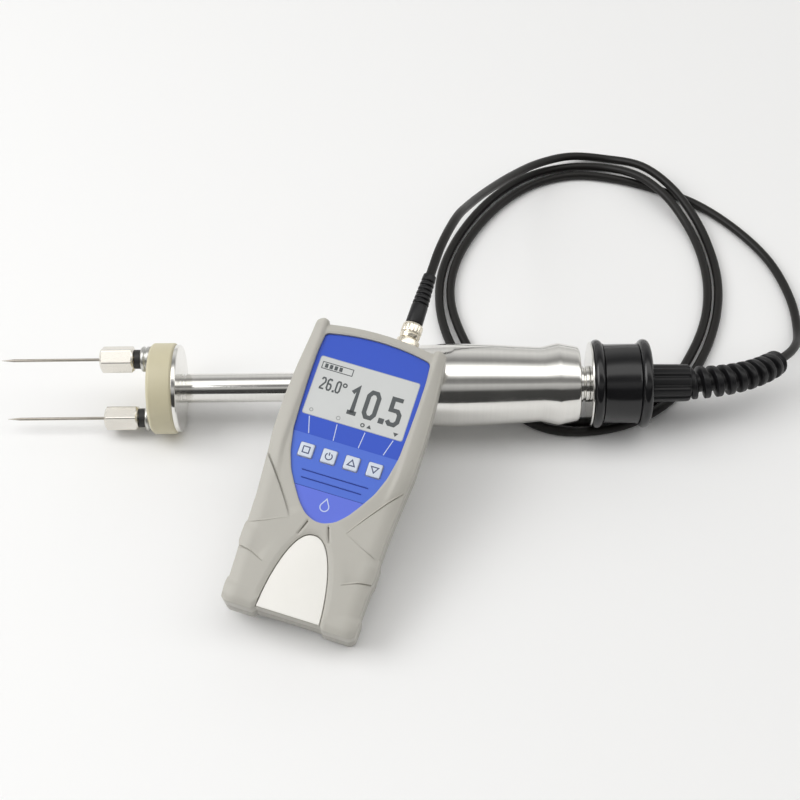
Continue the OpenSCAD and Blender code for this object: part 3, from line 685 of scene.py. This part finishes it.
def add_end_cap():
    """Gloss cap with a round bead at each end and soft fillets beside them."""
    length, radius, bead, bead_top = 31.5, 21.7, 3, 24.3
    profile = [(CAP_X, 8), (CAP_X, bead_top - bead)]
    for centre in (bead, length - bead):
        arc = range(170, -1, -17) if centre == bead else range(180, 9, -17)
        for degrees in arc:
            a = math.radians(degrees)
            profile.append((CAP_X + centre + bead * math.cos(a),
                            bead_top - bead + bead * math.sin(a)))
        if centre == bead:
            profile += [(CAP_X + 2 * bead + 0.3, radius + 0.4), (CAP_X + 2 * bead + 1.2, radius),
                        (CAP_X + length - 2 * bead - 1.2, radius),
                        (CAP_X + length - 2 * bead - 0.3, radius + 0.4)]
    profile += [(CAP_X + length, bead_top - bead - 0.5), (CAP_X + length, 6)]
    lathe("gloss_cap", profile, TOOL, CAP, "cap_plastic", ["end_cap"], sides=160, closed=True)


add_end_cap()


def add_gland():
    """Gland with broad grip flutes."""

    def flutes(angle, x, r):
        wave = max(0, math.cos(10 * angle)) ** 2
        inside = GLAND_X + 2.0 < x < RELIEF_X - 0.4
        return r - (0.9 * wave if inside and r > 9 else 0)

    profile = [(GLAND_X, 3.8), (GLAND_X, 10.5), (GLAND_X + 2, 10.5)]
    profile += [(GLAND_X + 2.4 + k * 3.3, 10.5 - 0.05 * k) for k in range(6)]
    profile += [(RELIEF_X - 0.8, 10.1), (RELIEF_X, 9.6), (RELIEF_X, 3.8)]
    lathe("fluted_gland", rounded(profile, 0.5, 3, closed=True), TOOL, RUBBER, "relief_rubber",
          ["gland"], sides=160, shape=flutes, closed=True)


add_gland()


# ---- Meter case ----
FACE_Z = 23
POCKET_Z = 21.2
SEAM_Z = 12
EDGE = 0.9
LABEL_HALF = 16.8
LABEL_DEPTH = 1.6
# (v, half width) up the case, and (u, v) of the blue panel's right side
SIDE = np.array([(0, 34.6), (7, 34.9), (9, 34.8), (11, 33.9), (27, 34.6), (29, 35.5), (38, 35.5),
                 (41, 34.7), (54, 35.0), (76, 36.7), (91, 38.1), (114, 38.2), (132, 37.4),
                 (150, 35.8), (157, 35.4)])
PANEL = [(2.5, 51), (8, 53.5), (13, 58.8), (18, 66.3), (22.3, 73.5), (25.8, 83), (28.2, 95),
         (28.8, 107), (29.4, 122), (29.5, 138), (28.6, 149)]


def half_width(v):
    """Half of the case's width at a height."""
    return np.interp(v, SIDE[:, 0], SIDE[:, 1])


def soft_step(x):
    """0 to 1 with soft ends."""
    x = np.clip(x, 0, 1)
    return x * x * (3 - 2 * x)


def top_edge(u):
    """The bridge's arch between the horns, and the horns' rounded tops."""
    a = np.abs(u)
    bridge = 157.2 - 2.6 * (a / 28) ** 2
    horn = 157.0 - 0.14 * np.clip(a - 31.5, 0, None) ** 2 - 0.3 * np.clip(31.5 - a, 0, None)
    return bridge + (horn - bridge) * soft_step((a - 28.7) / 1.0)


def bottom_edge(u):
    """The two feet, and the set-back middle between them."""
    a = np.abs(u)
    foot = 0.16 * np.clip(a - 30.5, 0, None) ** 2
    return foot + 2.0 * soft_step((19.0 - a) / 2.2)


def arch(half, v0, v1, count):
    """Points inside an arch of this half width, from v0 at its ends to v1 at its middle."""
    return [(half * (1 - 2 * i / count), v0 + (v1 - v0) * (1 - (1 - 2 * i / count) ** 2))
            for i in range(1, count)]


def mirrored(right):
    """The same points on the other side, in reverse order."""
    return [(-u, v) for u, v in reversed(right)]


def panel_outline(inset=0.0, steps=8):
    """The blue panel: an arched top, nearly straight sides and a rounded tip."""
    right = [(u - inset, v) for u, v in PANEL]
    right[0] = (right[0][0], right[0][1] + inset)
    right[-1] = (right[-1][0], right[-1][1] - inset)
    top = right[-1]
    line = right + arch(top[0], top[1], 152.5 - inset, 14) + mirrored(right)
    return rounded(line, 2.2, steps, closed=True)


def label_outline(inset=0.0):
    """The label: flat at the meter's lower end, with an arched top."""
    half, apex = LABEL_HALF - inset, 44.5 - inset
    right = []
    for i in range(25):
        a = math.radians(90 * i / 24)
        right.append((half * max(0, math.cos(a)) ** 0.9,
                      inset + (apex - inset) * math.sin(a) ** 1.25))
    return right + mirrored(right[:-1])


def to_line(u, v, line):
    """Signed distance to a polyline (positive on its right) and the share along it."""
    best = np.full(u.shape, 1e9)
    sign = np.ones(u.shape)
    share = np.zeros(u.shape)
    line = np.array(line, float)
    lengths = np.linalg.norm(np.diff(line, axis=0), axis=1)
    passed = np.concatenate([[0], np.cumsum(lengths)])
    for i, (a, b) in enumerate(zip(line, line[1:])):
        if lengths[i] < 1e-6:
            continue
        d = (b - a) / lengths[i]
        pu, pv = u - a[0], v - a[1]
        t = np.clip(pu * d[0] + pv * d[1], 0, lengths[i])
        off = np.hypot(pu - t * d[0], pv - t * d[1])
        side = np.sign(pu * d[1] - pv * d[0] + 1e-12)
        near = off < best
        best = np.where(near, off, best)
        sign = np.where(near, side, sign)
        share = np.where(near, (passed[i] + t) / passed[-1], share)
    return best * sign, share


# Moulded folds on the right half of the face, from the outside inward
CREASE = [(39, 81.5), (30, 70.5), (25, 64), (20, 57), (15, 49.5)]
FOLD = [(38, 39.5), (27, 43.5), (15.5, 49)]
BAND = [(38, 29.2), (33.8, 28.3), (28, 27.3), (20.5, 24)]
ARM = [(5.4, 50.2), (7.0, 45.5), (8.2, 42.6)]


def folded(u, v, line, depth, reach, fade):
    """A moulded fold: full height before the line, a sharp drop behind it that fades out."""
    off, share = to_line(u, v, line)
    drop = soft_step(off / 0.7) * np.exp(-np.clip(off, 0, None) / reach)
    return depth * drop * soft_step((1 - share) / fade) * (off > 0)


def case_height(u, v):
    """Height of the case's face over the meter's plane."""
    a = np.abs(u)
    upper = soft_step((v - 62) / 26)
    rim = soft_step((a - 28.6 + 3.0 * (1 - upper)) / 3.0)
    z = FACE_Z + 0.35 + 1.1 * rim * upper
    lower = soft_step((66 - v) / 22)
    z = z + 0.75 * lower
    # crown towards the sides, fuller on the upper half
    side = half_width(v) - a
    z = z - 2.5 * np.clip(1 - side / 7.5, 0, 1) ** 2.0
    z = z - 1.7 * np.clip(1 - (v - bottom_edge(u)) / 4.5, 0, 1) ** 2
    z = z - 1.6 * np.clip(1 - (top_edge(u) - v) / 3.2, 0, 1) ** 2
    # the horns stand over the bridge
    horn = soft_step((a - 28.9) / 1.0) * soft_step((v - 146) / 5)
    z = z + 0.35 * horn
    z = z - folded(a, v, CREASE, 1.15, 7.0, 0.12)
    z = z - folded(a, v, FOLD, 0.45, 5.0, 0.3)
    z = z - folded(a, v, BAND, 1.0, 6.0, 0.25)
    off, _ = to_line(a, v, ARM)
    z = z - 0.8 * np.exp(-(off / 0.5) ** 2)
    # raised band and foot at the sides
    bump = soft_step((v - 27.5) / 1.5) * soft_step((39.5 - v) / 2.5)
    foot = soft_step((10 - v) / 2)
    z = z + 0.3 * bump * soft_step((a - 24) / 8) + 0.3 * foot * soft_step((a - 20) / 8)
    # small dips along the panel's and the label's edges, and a broad one round the label
    for outline in (panel_outline(steps=2), label_outline()):
        off, _ = to_line(u, v, outline + outline[:1])
        z = z - 0.40 * np.clip(1 - np.abs(off) / 0.9, 0, 1) ** 2
    z = z - 0.5 * (1 - soft_step(np.abs(off) / 3.2)) * soft_step((v - 4) / 6)
    return z


def outward(loop):
    """Outward unit normals of a closed counter-clockwise loop."""
    before = np.roll(loop, 1, axis=0)
    after = np.roll(loop, -1, axis=0)
    d = after - before
    d /= np.linalg.norm(d, axis=1)[:, None]
    return np.stack([d[:, 1], -d[:, 0]], axis=1)


def case_grid(rows, columns):
    """Grid over the whole outline, EDGE inside it, and the order of its rim."""
    s = np.linspace(-1, 1, columns + 1)
    s = 0.75 * s + 0.25 * np.sin(s * math.pi / 2)
    t = np.linspace(0, 1, rows + 1)
    vn = t * METER_L
    u = s[None, :] * (half_width(vn) - EDGE)[:, None]
    low = bottom_edge(u) + EDGE
    high = top_edge(u) - EDGE
    v = low + (high - low) * t[:, None]
    index = np.arange((rows + 1) * (columns + 1)).reshape(rows + 1, columns + 1)
    rim = np.concatenate([index[0, :-1], index[:-1, -1], index[-1, :0:-1], index[:0:-1, 0]])
    quads = np.stack([index[:-1, :-1], index[:-1, 1:], index[1:, 1:], index[1:, :-1]], axis=-1)
    return u.ravel(), v.ravel(), quads.reshape(-1, 4), rim


def case_half(top, rows, columns):
    """Closed upper or lower half of the case: its sculpted face, a round edge and the wall."""
    u, v, quads, rim = case_grid(rows, columns)
    if top:
        z = case_height(u, v)
    else:
        z = 0.35 * soft_step((3 - (half_width(v) - np.abs(u))) / 3)
    loop = np.stack([u[rim], v[rim]], axis=1)
    normal = outward(loop)
    points = [np.stack([u, v, z], axis=1)]
    count = len(rim)
    rings = [rim]
    start = len(u)
    turn = 1 if top else -1
    for degrees in (22.5, 45, 67.5, 90):
        a = math.radians(degrees)
        place = loop + normal * EDGE * math.sin(a)
        height = z[rim] - turn * EDGE * (1 - math.cos(a))
        points.append(np.column_stack([place, height]))
        rings.append(start + np.arange(count))
        start += count
    seam = SEAM_Z + 0.12 * turn
    for inset, level in ((0, seam + 0.35 * turn), (0.25, seam)):
        place = loop + normal * (EDGE - inset)
        points.append(np.column_stack([place, np.full(count, level)]))
        rings.append(start + np.arange(count))
        start += count
    faces = quads.tolist()
    for a, b in zip(rings, rings[1:]):
        n, m = np.roll(a, -1), np.roll(b, -1)
        faces += np.stack([b, m, n, a], axis=1).tolist()
    faces.append(rings[-1].tolist())
    return np.concatenate(points), faces


def groove(line, width, depth, mirror=1):
    """Tapered blade that follows the face along a line, to cut a fold's dark bottom."""
    line = np.array(rounded(line, 4, 5), float)
    stretch = np.gradient(line, axis=0)
    stretch /= np.linalg.norm(stretch, axis=1)[:, None]
    side = np.stack([-stretch[:, 1], stretch[:, 0]], axis=1)
    gone = np.linspace(0, 1, len(line))
    half = width / 2 * (1 - 0.75 * gone ** 2)[:, None]
    face = case_height(line[:, 0], line[:, 1]) - depth * (1 - 0.7 * gone ** 2)
    points = []
    for level in (face, np.full(len(line), FACE_Z + 4.0)):
        for sign in (1, -1):
            edge = line + sign * side * half
            points += [(mirror * u, v, z) for (u, v), z in zip(edge, level)]
    n = len(line)
    faces = []
    for i in range(n - 1):
        for a, b in ((0, 1), (1, 3), (3, 2), (2, 0)):
            faces.append((a * n + i, a * n + i + 1, b * n + i + 1, b * n + i))
    faces += [(0, n, 3 * n, 2 * n), (n - 1, 2 * n - 1, 4 * n - 1, 3 * n - 1)]
    return points, faces


# Screw wells in the back
WELLS = ((-29, 146), (29, 146), (-30, 69), (30, 69))


def add_case():
    """Front with its panel pocket, label recess and folds, and back with its battery opening."""
    points, faces = case_half(True, 300, 150)
    front = new_piece("case_front", points, faces, METER, CASE, "case_grey",
                      ["front_shell", "guard_left", "guard_right"], sharp=50)
    cut(front, *flat_shape(panel_outline(), POCKET_Z, 10), METER)
    middle = [p for p in label_outline() if p[1] > 3]
    open_end = [(LABEL_HALF, -5)] + middle + [(-LABEL_HALF, -5)]
    cut(front, *flat_shape(open_end, FACE_Z - LABEL_DEPTH, 10), METER)
    blades = [groove(line, width, depth, mirror) for mirror in (1, -1)
              for line, width, depth in ((CREASE, 0.85, 1.6), (BAND, 1.0, 1.8), (FOLD, 0.4, 0.5),
                                         (ARM, 0.7, 1.0))]
    cut(front, *joined(blades), METER)
    points, faces = case_half(False, 120, 60)
    back = new_piece("case_back", points, faces, METER, BACK, "case_grey", ["rear_shell"],
                     sharp=50)
    cut(back, *flat_shape(rectangle(0, 35, 58.6, 60, 2), -1, 3.2), METER)
    for u, v in WELLS:
        cut(back, *flat_shape(circle_line(u, v, 3.4)[:-1], -1, 1.4), METER)


add_case()

FILM_T = 0.6
FILM_TOP = POCKET_Z + FILM_T
KEY_V = 85.4
KEY_PITCH = 12.1
KEY_SIDE = 7.4
SPLIT_V = 94
TIP_V = 67.2
SCREEN_V = 120.5
SCREEN_W = 53.3
SCREEN_H = 32.3
INK_T = 0.05
# (start, end, height) of the two lines cut into the film under the keys
SLITS = ((-17.2, 18.2, 75.4), (-16.4, 15.8, 71.4))


def clipped(outline, low, high):
    """The stretch of a convex outline between two heights."""
    out = []
    count = len(outline)
    for (u0, v0), (u1, v1) in zip(outline, outline[1:] + outline[:1]):
        cuts = [0]
        for level in (low, high):
            if (v0 - level) * (v1 - level) < 0:
                cuts.append((level - v0) / (v1 - v0))
        for t in sorted(cuts):
            p = (u0 + (u1 - u0) * t, v0 + (v1 - v0) * t)
            if low - 1e-6 <= p[1] <= high + 1e-6:
                out.append(p)
    return out


def key_places():
    """Middle of each key across the meter."""
    return [(k - 1.5) * KEY_PITCH for k in range(4)]


def add_film():
    """Keypad film in three printed blues with cut grooves, and openings for the keys."""
    outline = panel_outline(0.15, steps=4)
    zones = [("film_upper", SPLIT_V, 200, BLUE, ["keypad_overlay"]),
             ("film_lower", TIP_V + 0.12, SPLIT_V - 0.02, LIGHT_BLUE, []),
             ("film_tip", 0, TIP_V - 0.12, TIP_BLUE, [])]
    for name, low, high, material, replaced in zones:
        shape = flat_shape(clipped(outline, low, high), POCKET_Z, FILM_T)
        film = new_piece(name, *shape, METER, material, "overlay_blue", replaced)
        if name == "film_lower":
            for u in key_places():
                hole = rectangle(u, KEY_V, KEY_SIDE + 0.7, KEY_SIDE + 0.7, 1.0)
                cut(film, *flat_shape(hole, POCKET_Z - 1, 4), METER)
            for u0, u1, v in SLITS:
                slit = rectangle((u0 + u1) / 2, v, u1 - u0, 0.75, 0.37)
                cut(film, *flat_shape(slit, FILM_TOP - 0.35, 4), METER)
    # Painted shade: a dark blue strip laid in the bottom of each slit stands in for the shade inside the groove.
    slit_shade_strips = []
    for u0, u1, v in SLITS:
        slit_shade_strips.append(flat_shape(rectangle((u0 + u1) / 2, v, u1 - u0 - 0.3, 0.5, 0.25),
                              FILM_TOP - 0.33, 0.03))
    new_piece("slit_shade", *joined(slit_shade_strips), METER, GAP_SHADE_BLUE, "overlay_blue")
    # Painted shade: a dark blue strip sunk in the gap between the lower and the tip film stands in for the shade
    # between them.
    new_piece("split_gap_shade", *flat_shape(rectangle(0, TIP_V, 35.5, 0.2), POCKET_Z, 0.45), METER,
              GAP_SHADE_BLUE, "overlay_blue")
    lines = []
    for s in (-1, 1):
        lines.append(ribbon([(s * 22.5, 103.4), (s * 19.95, 94.5)], 0.45, FILM_TOP))
        lines.append(ribbon([(s * 7.5, 103.2), (s * 6.7, 94.3)], 0.45, FILM_TOP))
    new_piece("leader_lines", *joined(lines), METER, PALE_INK, "overlay_blue")
    drop = drop_outline(0, 60.2, 3.1)
    new_piece("drop_mark", *ribbon(drop + drop[:1], 0.55, FILM_TOP), METER, PALE_INK,
              "overlay_blue")


def drop_outline(u, v, size):
    """Plain water drop."""
    out = [(u, v + size * 1.25)]
    for degrees in range(35, -216, -10):
        a = math.radians(degrees)
        out.append((u + size * 0.72 * math.cos(a), v - size * 0.15 + size * 0.72 * math.sin(a)))
    return out


def add_keys():
    """Square keys with soft edges and a printed symbol each."""
    foot, top = 18.0, FILM_TOP + 1.1
    levels = [(0, foot), (0, top - 0.5), (0.12, top - 0.2), (0.4, top - 0.04), (0.8, top)]
    for u, name in zip(key_places(), ("hold", "power", "up", "down")):
        rings = [(rectangle(u, KEY_V, KEY_SIDE - 2 * inset, KEY_SIDE - 2 * inset, 0.9), z)
                 for inset, z in levels]
        new_piece(f"keycap_{name}", *stacked(rings), METER, KEY, "key_plastic", [f"key_{name}"],
                  body=f"key_{name}")
        if name == "hold":
            square = rectangle(u, KEY_V, 3.3, 3.3)
            lines = [square + square[:1]]
        elif name == "power":
            lines = [circle_line(u, KEY_V - 0.1, 1.75, 125, 415, 16),
                     [(u, KEY_V + 0.4), (u, KEY_V + 2.1)]]
        else:
            s = 1 if name == "up" else -1
            tri = [(u - 1.9, KEY_V - s * 1.4), (u + 1.9, KEY_V - s * 1.4), (u, KEY_V + s * 1.7)]
            lines = [tri + tri[:1]]
        parts = [ribbon(line, 0.6, top - 0.02) for line in lines]
        new_piece(f"symbol_{name}", *joined(parts), METER, KEY_INK, "key_plastic",
                  body=f"key_{name}")


# Strokes of each digit in a unit box
DIGITS = {
    "0": [[(0.08, 0.16), (0.3, 0), (0.7, 0), (0.92, 0.16), (0.92, 0.84), (0.7, 1), (0.3, 1),
           (0.08, 0.84), (0.08, 0.16)]],
    "1": [[(0.12, 0.78), (0.5, 1), (0.5, 0)], [(0.12, 0), (0.88, 0)]],
    "2": [[(0.08, 0.82), (0.3, 1), (0.7, 1), (0.92, 0.84), (0.92, 0.62), (0.08, 0.1), (0.08, 0),
           (0.92, 0)]],
    "5": [[(0.9, 1), (0.12, 1), (0.12, 0.55), (0.7, 0.55), (0.92, 0.42), (0.92, 0.14), (0.7, 0),
           (0.3, 0), (0.08, 0.12)]],
    "6": [[(0.88, 0.88), (0.7, 1), (0.3, 1), (0.08, 0.84), (0.08, 0.16), (0.3, 0), (0.7, 0),
           (0.92, 0.16), (0.92, 0.42), (0.7, 0.56), (0.08, 0.56)]],
}


def number_shapes(text, u, v, width, height, pitch, weight, z):
    """Digits as flat strokes, with a square point and a small ring for degrees."""
    parts = []
    for ch in text:
        if ch == ".":
            point = rectangle(u + weight * 0.6, v + weight * 0.1, weight * 1.3, weight * 1.3)
            parts.append(flat_shape(point, z, INK_T))
            u += pitch * 0.42
            continue
        if ch == "o":
            ring = circle_line(u + width * 0.4, v + height * 0.82, height * 0.16, steps=10)
            parts.append(ribbon(ring, weight * 0.8, z))
            continue
        for line in DIGITS[ch]:
            parts.append(ribbon([(u + x * width, v + y * height) for x, y in line], weight, z))
        u += pitch
    return parts


def add_screen():
    """Display: pale cell with a thin printed edge, dark figures and small marks over the keys."""
    glass = FILM_TOP + 0.02
    edge = rectangle(0, SCREEN_V, SCREEN_W + 0.7, SCREEN_H + 0.7, 1.4)
    cell = rectangle(0, SCREEN_V, SCREEN_W, SCREEN_H, 1.2)
    new_piece("screen_edge", *flat_shape(edge, FILM_TOP - 0.5, 0.52), METER, SCREEN_EDGE,
              "display_grey")
    new_piece("screen_cell", *flat_shape(cell, glass - 1.4, 1.45), METER, SCREEN, "display_grey",
              ["display_module", "display_window"])
    z = glass + INK_T
    big = number_shapes("10.5", -5.8, SCREEN_V - 9.2, 6.4, 13.8, 8.85, 2.3, z)
    small = number_shapes("26.0o", -22.6, SCREEN_V - 1.0, 2.4, 6.0, 3.4, 0.9, z)
    new_piece("big_figures", *joined(big), METER, DIGIT, "display_grey")
    new_piece("small_figures", *joined(small), METER, DIGIT, "display_grey")
    bar = rectangle(-16.6, SCREEN_V + 11.6, 16.5, 3.6)
    marks = [ribbon(bar + bar[:1], 0.45, z)]
    marks += [flat_shape(rectangle(-22.6 + 2.6 * k, SCREEN_V + 11.6, 1.7, 2.3), z, INK_T)
              for k in range(4)]
    new_piece("gauge_mark", *joined(marks), METER, DIGIT, "display_grey")
    low = SCREEN_V - 13.9
    faint = [ribbon(circle_line(-22.7, low + 0.4, 0.9, steps=8), 0.4, z),
             ribbon(circle_line(-8.0, low, 1.0, steps=8), 0.4, z)]
    new_piece("faint_marks", *joined(faint), METER, FAINT_DIGIT, "display_grey")
    solid = [ribbon(circle_line(5.0, low, 0.9, steps=8), 0.6, z)]
    solid.append(flat_shape([(7.2, low - 0.9), (9.8, low - 0.9), (8.5, low + 1.1)], z, INK_T))
    solid.append(flat_shape([(21.2, low + 1.0), (22.6, low - 1.1), (24, low + 1.0)], z, INK_T))
    new_piece("small_marks", *joined(solid), METER, DIGIT, "display_grey")


def add_label():
    """Plain label with a soft edge, set into the case's lower end."""
    levels = [(0.55, FACE_Z - LABEL_DEPTH), (0.55, FACE_Z - 0.25), (0.75, FACE_Z - 0.05),
              (1.1, FACE_Z)]
    rings = [([(u, max(v, 2.4)) for u, v in label_outline(inset)], z) for inset, z in levels]
    new_piece("blank_label", *stacked(rings), METER, LABEL, "label_cream", ["label_plate"])


def add_battery_cover():
    """Cover with a thumb grip of moulded slots."""
    cover = flat_shape(rectangle(0, 39, 57.4, 50, 1.6), 0.2, 1.8)
    piece = new_piece("grip_cover", *cover, METER, BACK, "case_grey", ["battery_cover"],
                      body="battery_cover")
    for k in range(6):
        slot = rectangle(0, 19 + 3 * k, 22 - 2 * abs(k - 2.5), 1.5, 0.7)
        cut(piece, *flat_shape(slot, -0.5, 1.3), METER)


add_film()
add_keys()
add_screen()
add_label()
add_battery_cover()

# ---- Materials of the CAD nodes that stay ----
KEPT = {
    "needle_holder_1": BRASS, "needle_holder_2": BRASS, "seal_rings": SEAL,
    "head_screws": SCREW, "inner_leads": LEAD, "hammer_bush_left": BUSH,
    "hammer_bush_right": BUSH, "cap_screws": SCREW, "plug_body": WARM_NICKEL,
    "socket": WARM_NICKEL, "main_board": BOARD, "key_mat": SEAL, "battery_cells": CELL,
    "battery_contacts": NICKEL, "shell_screws": SCREW,
}
for node, material in KEPT.items():
    node_mesh = frame["nodes"][node].data
    node_mesh.materials.clear()
    node_mesh.materials.append(material)


# ---- Floor and light ----
FLOOR_HALF = 30
KEY_LIGHT = {"place": (-1.1, -0.1, 1.1), "target": (0, 0, 0), "size": (1.3, 0.9), "energy": 9.5}


def add_floor():
    mesh = bpy.data.meshes.new("floor")
    h = FLOOR_HALF
    mesh.from_pydata([(-h, -h, 0), (h, -h, 0), (h, h, 0), (-h, h, 0)], [], [(0, 1, 2, 3)])
    material, _, _, shader = new_material("floor")
    shader.inputs["Base Color"].default_value = (0.93, 0.93, 0.93, 1)
    shader.inputs["Roughness"].default_value = 0.9
    mesh.materials.append(material)
    add_object("floor", mesh)


def add_area(name, place, target, size, energy):
    """Rectangular light that faces its target."""
    light = bpy.data.lights.new(name, "AREA")
    light.shape = "RECTANGLE"
    light.size, light.size_y = size
    light.energy = energy
    holder = add_object(name, light)
    holder.location = place
    direction = Vector(target) - Vector(place)
    holder.rotation_euler = direction.to_track_quat("-Z", "Y").to_euler()


# Brightness of the studio by the angle over the front horizon, in degrees
STUDIO = [(-180, 0.8), (-25, 0.8), (-8, 0.05), (33, 0.06), (39, 0.38), (46, 0.50), (51, 0.58),
          (56, 0.26), (66, 0.20), (73, 0.6), (79, 1.7), (103, 1.7), (112, 0.65), (121, 0.27),
          (128, 0.30), (140, 0.55), (157, 0.8), (180, 0.6)]


def add_world():
    """Soft studio: bright overhead, with a dark front and a thin dark gap between two panels."""
    world = bpy.data.worlds.new("studio")
    bpy.context.scene.world = world
    world.use_nodes = True
    nodes, links = world.node_tree.nodes, world.node_tree.links
    place = nodes.new("ShaderNodeTexCoord")
    split = nodes.new("ShaderNodeSeparateXYZ")
    links.new(place.outputs["Generated"], split.inputs["Vector"])
    forward = nodes.new("ShaderNodeMath")
    forward.operation = "MULTIPLY"
    forward.inputs[1].default_value = -1
    links.new(split.outputs["Y"], forward.inputs[0])
    angle = nodes.new("ShaderNodeMath")
    angle.operation = "ARCTAN2"
    links.new(split.outputs["Z"], angle.inputs[0])
    links.new(forward.outputs["Value"], angle.inputs[1])
    share = nodes.new("ShaderNodeMapRange")
    share.inputs["From Min"].default_value = -math.pi
    share.inputs["From Max"].default_value = math.pi
    links.new(angle.outputs["Value"], share.inputs["Value"])
    ramp = nodes.new("ShaderNodeValToRGB")
    stops = ramp.color_ramp.elements
    while len(stops) < len(STUDIO):
        stops.new(0.5)
    for stop, (degrees, bright) in zip(stops, STUDIO):
        stop.position = (degrees + 180) / 360
        stop.color = (bright, bright * 0.995, bright * 0.98, 1)
    links.new(share.outputs["Result"], ramp.inputs["Fac"])
    links.new(ramp.outputs["Color"], nodes["Background"].inputs["Color"])


add_floor()
add_area("key_light", **KEY_LIGHT)
add_world()
bpy.context.scene.view_settings.view_transform = "Standard"
